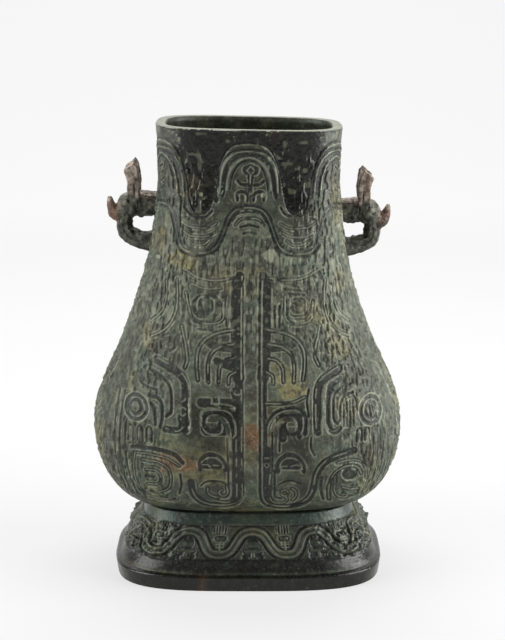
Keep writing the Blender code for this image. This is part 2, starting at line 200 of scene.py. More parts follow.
def body_half(z):
    """Half widths and half depths of the body's outside at an array of heights, as two columns."""
    z = np.atleast_1d(z)[:, None]
    under = np.clip((BELLY_Z - z) / (BELLY_Z - FOOT_HEIGHT), 0, 1)
    low = WAIST + (BELLY - WAIST) * np.sqrt(1 - under ** 2)
    middle = NECK + (BELLY - NECK) * smooth_curve(SHOULDER_CURVE, (z - BELLY_Z) / (NECK_Z - BELLY_Z))
    high = NECK + (MOUTH - NECK) * np.clip((z - NECK_Z) / (HEIGHT - NECK_Z), 0, 1) ** 2
    return np.where(z <= BELLY_Z, low, np.where(z <= NECK_Z, middle, high))


def body_profile(z):
    """Rows of half width, half depth, squareness and height on the body's outside."""
    stations = ((FOOT_HEIGHT, WAIST_SQUARENESS), (BELLY_Z, BELLY_SQUARENESS), (NECK_Z, NECK_SQUARENESS))
    z = np.atleast_1d(z)
    return np.column_stack([body_half(z), smooth_curve(stations, z), z])


def spaced(profile, step):
    """A profile's rows, evenly spaced along it."""
    length = np.concatenate([[0.0], np.cumsum(np.hypot(np.diff(profile[:, 0]), np.diff(profile[:, 3])))])
    places = np.linspace(0, length[-1], max(2, int(round(length[-1] / step)) + 1))
    return np.column_stack([np.interp(places, length, column) for column in profile.T])


def foot_profile():
    """Rows of the foot's outside from the table to the waist."""
    def row(half, z):
        return [*half, FOOT_SQUARENESS, z]

    rows = [
        row(PLINTH - PLINTH_UNDERCUT, 0.0),
        row(PLINTH, PLINTH_HEIGHT - EDGE_ROUND),
        row(PLINTH - EDGE_ROUND, PLINTH_HEIGHT),
        row(PLINTH - PLINTH_LEDGE, PLINTH_HEIGHT + EDGE_ROUND),
        row(PLINTH - (PLINTH_LEDGE + COVE_INSET) / 2 - COVE_HOLLOW, (PLINTH_HEIGHT + COVE_TOP) / 2),
    ]
    for t in np.linspace(0, 1, 40):
        bottom, top = PLINTH - COVE_INSET, WAIST + PLAIN_BAND_FLARE
        half = bottom + (top - bottom) * (1 - (1 - t) ** FOOT_CURVE_POWER)
        rows.append(row(half, COVE_TOP + t * (BAND_BASE - COVE_TOP)))
    rows.append(row(WAIST + PLAIN_BAND_FLARE / 3, FOOT_HEIGHT - RELIEF_EDGE))
    rows.append(row(WAIST, FOOT_HEIGHT))
    return np.array(rows)


def column_shares():
    """Places round the vessel in quarters, 0 at the middle of the front and 2 at the middle of the back."""
    front = np.linspace(0, 1, FRONT_COLUMNS + 1)[:-1]
    back = np.linspace(1, 2, BACK_COLUMNS + 1)[:-1]
    half = np.concatenate([front, back])
    return np.concatenate([half, 4 - np.concatenate([[2.0], half[:0:-1]])])


def quarter(half_width, half_depth, squareness, shares):
    """Points and lengths on a superellipse's quarter, at shares of its length from the front."""
    fine = np.linspace(0.0, math.pi / 2, QUARTER_STEPS)
    x = half_width * np.sin(fine) ** (2 / squareness)
    y = half_depth * np.cos(fine) ** (2 / squareness)
    length = np.concatenate([[0.0], np.cumsum(np.hypot(np.diff(x), np.diff(y)))])
    return np.interp(shares * length[-1], length, x), np.interp(shares * length[-1], length, y), length[-1]


def wall(profile, shares):
    """A grid of points on the wall, one row for each profile row, with the quarter's length at each."""
    turn = shares % 4
    across = np.where(turn <= 2, 1.0, -1.0)
    folded = np.where(turn <= 2, turn, 4 - turn)
    depth = np.where(folded <= 1, -1.0, 1.0)
    share = np.where(folded <= 1, folded, 2 - folded)
    points = np.zeros((len(profile), len(shares), 3))
    lengths = np.zeros((len(profile), 1))
    for i, (half_width, half_depth, squareness, z) in enumerate(profile):
        x, y, lengths[i] = quarter(half_width, half_depth, squareness, share)
        points[i] = np.column_stack([x * across, y * depth, np.full(len(x), z)])
    return points, lengths


def wall_normals(points):
    along = np.roll(points, -1, axis=1) - np.roll(points, 1, axis=1)
    up = np.gradient(points, axis=0)
    normals = np.cross(along, up)
    return normals / np.maximum(np.linalg.norm(normals, axis=2, keepdims=True), 1e-12)


def lean(points):
    """Slopes the upper body down towards +X and sways it, as the old casting does."""
    z = points[..., 2].copy()
    points[..., 2] -= points[..., 0] * LEAN * smoothstep(LEAN_START, HEIGHT, z)
    points[..., 0] += smooth_curve(SWAY, (z - FOOT_HEIGHT) / BODY_HEIGHT)
    return points


def rounded(points):
    """A smooth path through a few points, straight where two lie far apart."""
    p = np.array(points, dtype=float)
    step = np.diff(p, axis=0)
    length = np.maximum(np.linalg.norm(step, axis=1, keepdims=True), 1e-6)
    unit = step / length
    lead = np.vstack([unit[:1], unit[:-1] + unit[1:], unit[-1:]])
    lead /= np.maximum(np.linalg.norm(lead, axis=1, keepdims=True), 1e-9)
    pull = np.minimum(np.vstack([length[:1], length]), np.vstack([length, length[-1:]]))
    lead = lead * pull
    t = np.linspace(0, 1, STROKE_STEPS + 1)[:-1, None]
    at_start, at_end = (1 + 2 * t) * (1 - t) ** 2, t ** 2 * (3 - 2 * t)
    leaving, arriving = t * (1 - t) ** 2, t ** 2 * (t - 1)
    path = [at_start * a + leaving * lead_a + at_end * b + arriving * lead_b
            for a, b, lead_a, lead_b in zip(p, p[1:], lead, lead[1:])]
    return np.vstack(path + [p[-1:]])


def arc(centre, radii, start, end, square=2.0, shrink=1.0):
    """Part of an ellipse or rounded square between two angles in degrees; shrink makes it a spiral."""
    steps = max(4, int(abs(end - start) / 12))
    angle = np.radians(np.linspace(start, end, steps + 1))
    size = np.linspace(1.0, shrink, steps + 1)
    c, s = np.cos(angle), np.sin(angle)
    x = centre[0] + radii[0] * size * np.sign(c) * np.abs(c) ** (2 / square)
    z = centre[1] + radii[1] * size * np.sign(s) * np.abs(s) ** (2 / square)
    return np.column_stack([x, z])


class Panel:
    """A stretch of wall, drawn on with strokes: across and up are each point's place on it in millimetres.

    Dark strokes sink and get a light rim, flat ones stay at the surface where they cross dark ones, and thin
    ones are raised lines.
    """

    def __init__(self, across, up):
        self.across = across
        self.up = up
        self.middle = 0.0
        self.flip = 1
        self.cut = np.zeros(len(across))
        self.flat = np.zeros(len(across))
        self.line = np.zeros(len(across))
        self.rim = np.zeros(len(across))

    def stroke(self, points, width, margin):
        """The points near a stroke, and how far each lies outside its edge."""
        if len(points) > 2:
            path = rounded(points)
        else:
            path = np.array(points[0] if len(points) == 1 else points, dtype=float)
        path = np.column_stack([self.flip * (path[:, 0] - self.middle), path[:, 1]])
        reach = width / 2 + margin
        low, high = path.min(axis=0) - reach, path.max(axis=0) + reach
        near = np.nonzero((self.across > low[0]) & (self.across < high[0])
                          & (self.up > low[1]) & (self.up < high[1]))[0]
        x, z = self.across[near], self.up[near]
        best = np.full(len(near), 1e9)
        for (ax, az), (bx, bz) in zip(path, path[1:]):
            dx, dz = bx - ax, bz - az
            t = np.clip(((x - ax) * dx + (z - az) * dz) / max(dx * dx + dz * dz, 1e-9), 0, 1)
            best = np.minimum(best, np.hypot(x - ax - t * dx, z - az - t * dz))
        return near, best - width / 2

    def dark(self, width, *points):
        near, out = self.stroke(points, width, 1.8)
        self.cut[near] = np.maximum(self.cut[near], 1 - smoothstep(-0.55, 0.55, out))
        self.rim[near] = np.maximum(self.rim[near], 1 - smoothstep(0.35, 0.95, np.abs(out - 0.85)))

    def ribbon(self, width, *points):
        near, out = self.stroke(points, width, 0.5)
        self.flat[near] = np.maximum(self.flat[near], 1 - smoothstep(-0.5, 0.5, out))

    def thin(self, *points, width=1.2):
        near, out = self.stroke(points, width, 0.45)
        self.line[near] = np.maximum(self.line[near], 1 - smoothstep(-0.45, 0.45, out))

    def twin(self, width, *points):
        """A dark stroke with a thin raised line along its middle."""
        self.dark(width, *points)
        self.thin(*points)

    def disc(self, centre, radii):
        x = (self.across - self.flip * (centre[0] - self.middle)) / radii[0]
        z = (self.up - centre[1]) / radii[1]
        soft = 0.5 / min(radii)
        self.flat = np.maximum(self.flat, 1 - smoothstep(1 - soft, 1 + soft, np.hypot(x, z)))

    def arches(self, places, top, bottom, width=2.2, span=6.0):
        """A row of narrow dark arches."""
        for x in places:
            left, right = x - span / 2, x + span / 2
            self.dark(width, (left, bottom), (left, top - 3), (x, top), (right, top - 3), (right, bottom))


def front_left(panel):
    """The left half of the body's front, from the middle band out to the corner."""
    panel.dark(9.5, (-8.3, 345), (-8.3, 112))
    panel.dark(13.0, (-10.8, 336), (-10.8, 268), (-8.8, 240))
    panel.dark(8.0, (-8.3, 118), (-10.5, 105), (-19, 98.5), (-31, 97), (-43, 98.5), (-52, 103.5),
               (-58.5, 112), (-60.5, 127))
    panel.thin((-5.7, 345), (-5.7, 112), (-7.5, 104), (-13, 99.5), (-24, 96.8), (-37, 97.2), (-48, 100.5),
               (-56, 107), (-60, 118))
    panel.dark(5.0, (-14.2, 182), (-14.2, 110), (-17, 104), (-24, 101.5), (-33, 103))
    panel.thin((-11.7, 176), (-11.7, 112), (-13.5, 105), (-19, 101.8), (-27, 101), (-35, 103))
    panel.dark(2.2, (-20.8, 178), (-20.5, 112), (-23.5, 108), (-29, 108.5))
    # The closed volute and the stepped recess over it
    for z in (187.5, 195, 202.0):
        panel.dark(13, (-42.5, z), (-18.5, z))
    panel.ribbon(4.6, (-39, 199.5), (-34, 201), (-28, 199.5), (-23.5, 195.5), (-20.5, 189), (-18.8, 178),
                 (-18, 150))
    panel.disc((-37, 195), (6.3, 6.3))
    panel.thin((-15.3, 178), (-12.6, 181), (-12.3, 190), (-13.5, 196), (-16.5, 202.5), (-21, 206),
               (-28, 207.6), (-44, 207.2), (-47.8, 204), (-47.8, 191), (-45.5, 186), (-41, 182.5),
               (-34, 181.7), (-28.5, 183), (-26, 187.5), (-26.5, 193))
    panel.dark(9.0, (-49, 215), (-13, 214.5))
    panel.thin((-38, 214), (-26, 213.5), (-15, 211), (-10.5, 207), (-9.8, 203))
    panel.thin((-37, 219), (-37, 214))
    panel.thin((-30, 219), (-29.5, 213.6))
    panel.dark(9.0, (-13, 226), (-10, 217))
    panel.thin((-17, 228), (-12, 223.5), (-6, 224))
    # The eye, its cheek, and the curls under it
    panel.dark(5.0, (-50, 143), (-50.5, 150), (-47, 156.5), (-40, 160), (-33, 158.5), (-27, 154),
               (-24, 147), (-23.5, 142))
    panel.dark(12, (-44, 149.5), (-30, 149.5))
    panel.thin((-49, 150.5), (-45, 154.5), (-38.5, 156.5), (-31, 154.5), (-26.5, 149), (-25.5, 144))
    panel.thin((-48, 147.8), (-42, 147.8), (-40, 145))
    panel.thin((-36, 147.5), (-31, 147.2))
    panel.dark(1.9, (-50, 123), (-45, 127.5), (-36, 129), (-27, 127.5), (-21.5, 123))
    panel.twin(4.6, (-43, 121), (-42.5, 113.5), (-38, 109), (-32, 107.5))
    panel.twin(4.4, (-22.5, 122), (-21.5, 114), (-25, 109.8), (-29.5, 111), (-30.5, 115.5), (-27.5, 118))
    # The long bends outside them
    panel.dark(8.6, (-98, 256), (-83, 250), (-72.5, 243.5), (-66.3, 235), (-65.3, 222), (-65.3, 186))
    panel.thin((-97, 258), (-82, 252), (-70, 244.5), (-63, 235), (-61.8, 222), (-61.8, 186))
    panel.thin((-71, 222), (-67, 222.5), (-65.8, 217.5), (-70, 215.5))
    panel.thin((-71.5, 208), (-68.5, 209.5), (-65, 207.5))
    panel.thin((-71.5, 203), (-69, 201), (-65.5, 203))
    panel.dark(3.4, (-106, 246), (-92, 240), (-84, 233), (-81, 224), (-81, 204), (-86, 200))
    panel.dark(7.4, (-70.5, 199), (-69.5, 190), (-74, 185.5), (-87, 186))
    panel.thin((-70.8, 198), (-68.4, 193), (-69.4, 187.5), (-73.5, 184.6), (-82, 185), (-87, 187.5))
    panel.dark(3.6, (-106, 219.5), (-96, 218), (-91.5, 213), (-90.6, 199), (-93, 188))
    panel.dark(3.4, (-104, 212), (-99.5, 208.5), (-98.5, 190))
    panel.dark(2.6, (-118, 233), (-108, 228), (-96, 226.5))
    # The boss and the arches under it
    panel.thin(arc((-122, 206.5), (16.4, 15.4), 0, 360), width=1.6)
    panel.dark(3.8, arc((-122, 206.5), (13.4, 12.6), 0, 360))
    panel.dark(3.6, arc((-122, 206.5), (8.4, 7.8), 60, 400, 2.0, 0.8))
    panel.arches((-129, -117, -106), 187.5, 171)
    # The squared volute in the lower corner
    panel.dark(4.8, (-69, 149.5), (-76, 157.5), (-88, 162), (-106, 164), (-126, 163.5))
    panel.twin(4.2, (-121, 157.5), (-106, 157.2), (-91, 155), (-81, 151), (-73, 145.5))
    panel.twin(4.4, (-123.5, 158), (-126, 140), (-124, 124), (-117, 110.5), (-107, 104.5), (-90, 102.5),
               (-76, 104))
    panel.twin(4.6, (-115, 150), (-96, 148.5), (-85.5, 142), (-82.5, 130), (-86, 117.5), (-97, 111.5),
               (-112, 112.5))
    panel.twin(4.2, (-111, 139), (-98, 138), (-93.5, 130.5), (-97, 122.5), (-110, 121))
    panel.dark(3.0, (-111, 130.5), (-102, 130.5))
    panel.dark(2.4, (-72, 136), (-71, 122), (-74, 112))
    for x in (-133, -141, -149):
        panel.dark(2.7, (x + 2, 205 - x / 9), (x - 3, 165), (x + 1, 128), (x + 10, 104))
    # The upper volute and the recesses beside the band
    panel.dark(25, (-47, 313), (-39, 313))
    panel.disc((-42.5, 314.5), (5.6, 5.6))
    panel.thin(arc((-43.5, 313.5), (10, 9.5), 100, 430, 3.0, 0.86))
    panel.twin(4.4, (-66, 327), (-62, 312), (-58, 300), (-48, 296), (-34, 295.5), (-26, 300), (-24.5, 318))
    panel.dark(2.4, (-53, 289.5), (-38, 288.5))
    panel.twin(4.0, (-60, 336), (-44, 331.5), (-28, 332))
    panel.twin(4.4, (-70, 352), (-52, 342.5), (-32, 340), (-15, 343))
    panel.dark(8.0, (-44, 278), (-34, 272), (-14, 270))
    panel.dark(8.0, (-32, 257), (-20, 252.5), (-12, 250))
    panel.twin(5.4, (-14, 289), (-30, 286), (-44, 279), (-52, 268), (-53.5, 252), (-52, 238))
    panel.twin(5.2, (-14, 274.5), (-28, 271.5), (-38, 264), (-41.5, 252), (-41, 236))
    panel.twin(5.0, (-14, 260), (-23, 257.5), (-29, 250), (-30, 236))
    panel.twin(4.6, (-12, 246), (-18.5, 242), (-19.5, 234))
    panel.dark(3.4, (-87, 279), (-79.5, 276), (-77.5, 270), (-83, 266.5))
    panel.twin(5.0, (-70, 292), (-66, 276), (-63.5, 258), (-66, 250))
    panel.twin(4.4, (-76, 340), (-75, 318), (-79, 300), (-90, 287), (-106, 279))
    panel.twin(4.4, (-89, 338), (-88, 322), (-93, 306), (-108, 294))


def front_right(panel, plain=False):
    """The right half of the body's front."""
    panel.dark(9.5, (16.8, 345), (16.8, 112))
    panel.dark(13.0, (19.4, 336), (19.4, 268), (17.2, 240))
    panel.dark(8.4, (16, 118), (17.2, 104.5), (23, 97.5), (33, 94.5), (45, 94.5), (56, 98), (65, 105),
               (70, 115), (72.5, 128), (76.5, 141), (84, 150), (98, 156), (116, 160))
    panel.thin((16, 345), (16, 112), (17.5, 103.5), (22, 98), (32, 94.8), (44, 94.8), (55, 98.3),
               (63.8, 104.5), (68.8, 113), (71.3, 123), (73.5, 134.5), (77.5, 144), (84.5, 150.8),
               (96, 155.6), (111, 158.8))
    panel.dark(5.4, (22.2, 166), (22.2, 108))
    panel.thin(arc((20.8, 147.5), (2.3, 2.3), 0, 360), width=0.9)
    panel.thin((18.5, 156), (23, 156))
    panel.twin(4.4, (24.8, 137), (24, 129), (24, 108), (26.5, 101.8), (33, 99.6), (39.5, 101),
               (42.5, 105.5), (40, 110))
    panel.dark(2.4, (29.2, 142), (29.2, 111), (32, 107), (37, 106.8))
    if not plain:
        panel.twin(4.0, arc((40, 113.5), (3.8, 3.8), 0, 300))
        panel.twin(4.6, (48, 119.5), (51.8, 115.5), (52, 108.5), (48, 103.8))
    # The open volute
    panel.dark(13, (35.5, 187.5), (55, 187.0))
    panel.dark(13, (36.5, 197.5), (53.5, 197.5))
    panel.dark(9.0, (37.8, 190), (37.8, 178))
    panel.dark(6.0, (21, 186), (23, 194), (28, 201.5), (36, 206.5), (46.5, 208.5), (54.5, 207.5),
               (60.5, 202.5), (62, 195), (61.5, 183))
    panel.dark(6.0, (55.5, 198), (55.5, 179))
    panel.ribbon(5.2, (31, 160), (30.5, 178), (30.8, 186), (33.5, 193), (38.5, 197), (44, 198.2),
                 (48.5, 196.5))
    panel.disc((48, 191), (5.7, 7.4))
    panel.thin((22.5, 184), (24, 193), (29, 200.5), (37, 205.5), (46.5, 207), (54, 206), (58.3, 202),
               (60, 195), (59.5, 187), (57.5, 182))
    panel.dark(2.3, (27, 184), (26.6, 140))
    panel.dark(2.4, (34.6, 178), (34.4, 164))
    panel.twin(4.2, (20.5, 214), (36, 214), (50, 215.5), (62, 220.5))
    # The eye
    panel.dark(5.0, (32.5, 140), (32.5, 148), (36, 155), (43, 159), (50, 158.5), (56.5, 153), (60, 146),
               (60.5, 140))
    panel.dark(12, (40, 148.5), (53, 148.5))
    panel.thin((34.5, 144), (36, 150), (40.5, 154.2), (46, 155.6), (52.5, 154), (57, 149), (58.8, 142))
    panel.thin((35, 145.5), (42, 146.5))
    panel.thin((47, 146), (53, 147.5), (56, 146))
    panel.dark(1.9, (33, 124), (40, 128), (48, 128.5), (57, 125.5))
    # The long bends and the block of bars
    panel.dark(9.4, (100, 247), (88, 241), (79, 234.5), (75.6, 224), (75.2, 208), (75.4, 184))
    panel.thin((99, 249), (87, 243), (77, 235), (73.6, 224), (73.2, 206), (73.6, 188))
    panel.thin((80.8, 200), (79.4, 190), (80.4, 181))
    panel.dark(6.2, (104, 238), (93, 233), (87.6, 226), (86.2, 212), (86.2, 195), (88.5, 187), (94, 183),
               (100, 186.5))
    panel.thin((102, 240.5), (91, 235), (85.6, 228), (84, 214), (84, 194), (86.4, 187), (92, 183.2),
               (98, 185.5), (99.8, 192))
    panel.dark(2.8, (114, 231), (101, 227.5), (94, 220.5), (93, 208), (93, 197), (96.5, 192),
               (100.5, 196), (101, 211), (106, 219), (116, 222))
    for x, top in ((105, 210.5), (108.4, 212.5), (112, 214), (116, 215)):
        panel.dark(2.0, (x, top), (x, 187.5))
    panel.dark(2.6, (66, 228), (64, 214), (66, 200))
    panel.dark(2.2, (68.5, 178), (68, 166), (72, 158))
    # The boss and the arches under it
    panel.thin(arc((140, 201), (18, 17), 0, 360), width=1.6)
    panel.dark(4.4, arc((140, 201), (15.2, 14.2), 95, 265))
    panel.dark(3.4, arc((140, 201), (14.4, 13.6), 265, 455))
    panel.dark(3.2, arc((140, 201), (8.8, 8.2), 30, 330))
    panel.arches((123, 133, 143), 184, 170)
    # The volute in the lower corner
    panel.twin(5.4, (88.5, 103), (88, 117), (90, 128.5), (94, 135.5), (101, 140.5), (112, 142.8),
               (122, 140), (127, 131))
    panel.twin(4.8, (95, 132), (94.8, 113), (98.5, 106), (107, 102.8), (120, 104))
    panel.dark(16, (111, 133.5), (115, 133.5))
    panel.disc((115, 135.5), (4.8, 4.4))
    panel.thin((102.5, 138.5), (101.6, 132), (105.5, 126.8), (113, 125), (120, 128), (122.5, 134.5))
    panel.twin(4.2, (97, 147.5), (111, 149.8), (124, 147), (132, 138), (134, 124))
    panel.twin(4.4, (104, 117), (113, 113), (124, 112.5))
    panel.dark(3.2, (80, 132), (79, 118), (82, 104))
    for x in (139, 147, 155):
        panel.dark(2.7, (x - 2, 190 + x / 9), (x + 3, 163), (x - 1, 128), (x - 10, 104))
    # The upper volute
    panel.dark(22, (54.5, 311.5), (57, 308.5))
    panel.disc((55, 315), (5.8, 5.8))
    panel.thin(arc((55, 314), (8.8, 9.2), 60, 395, 3.2))
    panel.twin(4.6, (41, 324), (41, 304), (44.5, 297), (52, 295), (64, 296), (70, 301), (71, 318))
    panel.thin((46, 322), (46, 304), (50, 301.5), (63, 302))
    for low, high in (((36, 338), (51, 334.5)), ((39, 332), (57, 329.5)), ((43, 327), (61, 325))):
        panel.dark(2.8, low, high)
    panel.dark(3.0, (35, 314), (35, 289))
    panel.dark(2.4, (30, 314), (30, 289))
    panel.twin(4.4, (79, 352), (61, 343), (41, 341), (24, 343))
    panel.dark(8.0, (23, 270), (44, 272), (54, 277))
    panel.twin(5.4, (23, 289), (39, 286), (53, 279), (60.5, 268), (62, 252), (60, 238))
    panel.twin(5.2, (23, 274.5), (37, 271.5), (47, 264), (50.5, 252), (50, 236))
    panel.twin(5.0, (23, 260), (32, 257.5), (38, 250), (39, 236))
    panel.twin(4.6, (21, 246), (27.5, 242), (28.5, 234))
    panel.twin(5.0, (79, 292), (75, 276), (73, 262), (77, 252))
    panel.dark(3.2, (90, 278), (85, 272), (88, 264))
    panel.twin(4.4, (85, 340), (84, 318), (88, 300), (99, 287), (115, 279))
    panel.twin(4.4, (98, 338), (97, 322), (102, 306), (117, 294))


def neck_marks(panel, plain=False):
    """Emblem, arcs under the arch and smiles in the dips, on the neck's front or back."""
    panel.dark(10.0, (-1.8, 457.3), (5.8, 457.3))
    panel.dark(7.0, (2, 460.5), (2, 449))
    panel.dark(5.0, (2, 452), (1.2, 431))
    corners = ((2, 461.6), (6.2, 457), (2, 452.4), (-2.2, 457), (2, 461.6))
    for start, end in zip(corners, corners[1:]):
        panel.thin(start, end, width=0.9)
    panel.thin((1.7, 452.8), (1.4, 442), (0.8, 430))
    for side in (-1, 1):
        def at(x):
            return 1.8 + side * x

        panel.dark(3.4, (at(14), 446), (at(10), 442.5), (at(3.5), 441.5))
        panel.dark(3.6, (at(14), 425.5), (at(14), 432.5), (at(8.5), 434.5), (at(4), 431.5), (at(3.4), 425.5))
        panel.disc((at(8.2), 428.3), (2.2, 2.4))
    panel.dark(2.8, (-17.5, 403), (-12.5, 410.8), (1, 413), (13.5, 410.8), (18.5, 403))
    panel.twin(4.0, (-14, 399), (-8.5, 404.8), (1, 406), (10.5, 404.8), (16, 399))
    panel.dark(2.6, (-9, 396.5), (1, 398.8), (11, 396.5))
    panel.dark(2.4, (-6, 389.5), (1, 391), (8, 389.5))
    if not plain:
        panel.dark(6.0, (-33.5, 440), (-36, 431), (-34.5, 425))
        panel.thin((-28, 439.5), (-31.8, 438.5), (-32.5, 433.5), (-29.3, 432), (-27.8, 435))
    panel.dark(3.0, (34, 418), (38, 411.5), (46, 409), (55, 409.3), (62, 413.5), (67, 420))
    panel.dark(3.0, (-69, 416), (-63, 409.5), (-54, 406), (-45, 407), (-39, 413))
    for low, half in ((396, 19), (386.5, 17), (378, 12)):
        for middle, base in ((53, low), (-53, low - 0.5)):
            panel.twin(3.6, (middle - half, base + 4.5), (middle - half / 2, base),
                       (middle + half / 2, base), (middle + half, base + 4.5))
    for side in (-1, 1):
        for z in (432, 440, 448, 456):
            panel.dark(2.4, (side * 100, z + 4), (side * 108, z), (side * 116, z + 4))


def body_side(panel):
    """The body's side, seen almost edge on in the picture: a middle rib between volutes and upright bars."""
    for side in (-1, 1):
        panel.flip = side
        panel.twin(4.6, (7.5, 345), (7.5, 116), (12, 105), (24, 99), (40, 100))
        panel.dark(22, (30, 197), (36, 195))
        panel.disc((33, 196), (5.6, 5.6))
        panel.thin(arc((33, 195.5), (11, 11), 90, 420, 3.0, 0.85))
        panel.twin(4.4, (18, 178), (18, 202), (23, 210), (38, 213), (49, 207), (51, 190))
        panel.twin(4.4, (21, 162), (21, 118), (30, 109), (42, 112), (46, 124))
        panel.dark(11, (30, 146), (40, 146))
        panel.thin((27, 144), (30, 151), (37, 152.5), (43, 147), (44, 141))
        panel.dark(17, (24, 262), (28, 260))
        panel.disc((26, 262), (4.2, 4.2))
        panel.twin(4.2, (13, 242), (14, 268), (20, 276), (31, 277), (39, 268))
        panel.twin(4.2, (15, 322), (18, 300), (28, 290), (40, 289))
        panel.twin(4.2, (58, 246), (59, 212), (60, 170), (57, 128))
        panel.twin(4.2, (70, 240), (71, 205), (71, 165), (66, 120))
        panel.arches((30, 40), 232, 221)
        panel.arches((30, 40), 178, 168)
        for z in (302, 312, 322, 332):
            panel.dark(2.6, (24, z), (36, z + 3))


def neck_side(panel):
    """The neck's side: two smiles under the handle's end, and short bars beside it."""
    for z, half in ((391, 18), (382, 13)):
        panel.twin(3.8, (-half, z + 6), (0, z), (half, z + 6))
    for side in (-1, 1):
        panel.flip = side
        for z in (388, 397, 406, 415, 424, 433):
            panel.dark(2.4, (27, z), (38, z + 2.5))


def squarer(swing, ease):
    """A wave's swing made flatter at its tops and steeper between them."""
    return swing * np.sqrt((1 + ease ** 2) / (swing ** 2 + ease ** 2))


def neck_edges(turn):
    """Heights of the neck wave's upper and lower edge at places round the vessel, in quarters."""
    wave = NECK_WAVES * turn / 4
    swing = np.cos(2 * math.pi * wave)
    upper = smooth_curve(UPPER_EDGE, 2 * np.abs(wave - np.round(wave)))
    lower = LOWER_CREST - (LOWER_CREST - LOWER_DIP) * (1 - squarer(swing, LOWER_EASE)) / 2
    return upper, lower


def foot_wave(turn):
    """How many of the foot's waves lie between the front's middle and a place in quarters."""
    place = (turn + 2) % 4 - 2
    near = np.clip(1 - place ** 2, 0, 1)
    return FOOT_WAVES * place / 4 - (FRONT_STRETCH * place + FRONT_SHIFT) * near


def foot_middle(turn):
    """The height of the foot ribbon's middle."""
    swing = (BAND_BASE - COVE_TOP - FOOT_RIBBON) / 2 - RELIEF_EDGE
    wave = np.cos(2 * math.pi * foot_wave(turn))
    return (BAND_BASE + COVE_TOP) / 2 + swing * squarer(wave, FOOT_EASE)


def curve_distance(along, height, curve, reach):
    """Signed distance in millimetres to a curve height(place), positive above it."""
    below = height - curve(along)
    best = np.abs(below)
    for offset in np.linspace(-reach, reach, 31):
        best = np.minimum(best, np.hypot(offset, height - curve(along + offset)))
    return np.sign(below) * best * 1000


def lined(distance, place, width):
    """One on a line at the given distance, nothing elsewhere."""
    return 1 - smoothstep(width / 2 - 0.45, width / 2 + 0.5, np.abs(distance - place))


def neck_relief(field):
    """The wave round the neck: a raised ribbon, with dark and thin lines following its edges."""
    turn, z, length = field["turn"], field["z"], field["length"]
    upper = curve_distance(turn * length, z, lambda s: neck_edges(s / length)[0], 0.020)
    lower = curve_distance(turn * length, z, lambda s: neck_edges(s / length)[1], 0.016)
    ribbon = smoothstep(-0.6, 0.9, -upper) * smoothstep(-0.6, 0.9, lower)
    inward = -upper
    wave = turn * NECK_WAVES / 4
    panel = Panel(np.abs(wave - np.round(wave)) * 4 * length / NECK_WAVES * 1000, z * 1000)
    panel.dark(2.0, (0, 480.2), (14.5, 478.4), (24, 471), (30, 459.5), (32, 448), (33, 434))
    panel.dark(5.4, (0, 474.3), (9.5, 472.8), (18.5, 466.8), (24, 457), (26.3, 447), (28.5, 430))
    panel.dark(2.4, (0, 468), (5, 467), (11, 462.8), (15.5, 456), (18.5, 448), (20.5, 436))
    panel.thin((0, 477.6), (13, 475.7), (22, 469), (27.5, 459), (30, 447), (30.8, 434))
    panel.thin((0, 471), (6, 469.8), (14, 464.5), (19.5, 456), (22, 448), (23.5, 436))
    panel.thin((0, 484.8), (13, 483.4), (22.5, 477.5), (30, 464), (34, 450), (36.5, 436))
    cut = most(panel.cut * (ribbon > 0.5), 0.8 * lined(inward, -1.3, 1.8) * smoothstep(0.395, 0.405, z))
    line = panel.line * (ribbon > 0.5)
    edge = smoothstep(-9, -3, lower) * (1 - smoothstep(9, 12, lower))
    cut = most(cut, edge * lined(lower, -2.4, 3.0), edge * lined(lower, 2.4, 3.0))
    line = most(line, 0.9 * edge * lined(lower, 0.0, 1.2))
    return ribbon, cut, line


def foot_marks(panel, period):
    """The small signs of the foot: one under each crest at 0, one over each trough at the half wave."""
    panel.dark(13, (0, 49.5), (0, 47.5))
    panel.dark(7.5, (-6.5, 40.5), (6.5, 40.5))
    panel.dark(5.5, (-8.5, 35), (8.5, 35))
    panel.ribbon(4.8, (-4.0, 48.2), (4.0, 48.2))
    panel.ribbon(3.0, (-7.5, 41.4), (7.5, 41.4))
    panel.ribbon(3.0, (0, 41), (0, 34.5))
    panel.ribbon(2.2, (-3, 34.2), (3, 34.2))
    for side in (-1, 1):
        middle = side * period / 2
        panel.dark(8.4, (middle - 4.2, 63.6), (middle + 4.2, 63.6))
        for x in (-6.4, -3.2, 0.0, 3.2, 6.4):
            panel.thin((middle + x, 60.0), (middle + x, 67.4), width=1.1)
        panel.dark(8.4, (middle - 4.2, 54.2), (middle + 4.2, 54.2))
        panel.thin(arc((middle, 54.2), (7.4, 3.7), 0, 360, 3.0))
        panel.ribbon(3.4, (middle - 2.4, 54.2), (middle + 2.4, 54.2))
        panel.dark(6.4, (middle, 49), (middle, 45.2))
        panel.thin((middle, 51), (middle, 42.0))
        panel.thin((middle - 4.4, 48.4), (middle + 4.4, 48.4))
        panel.thin((middle - 3.6, 45.0), (middle + 3.6, 45.0))


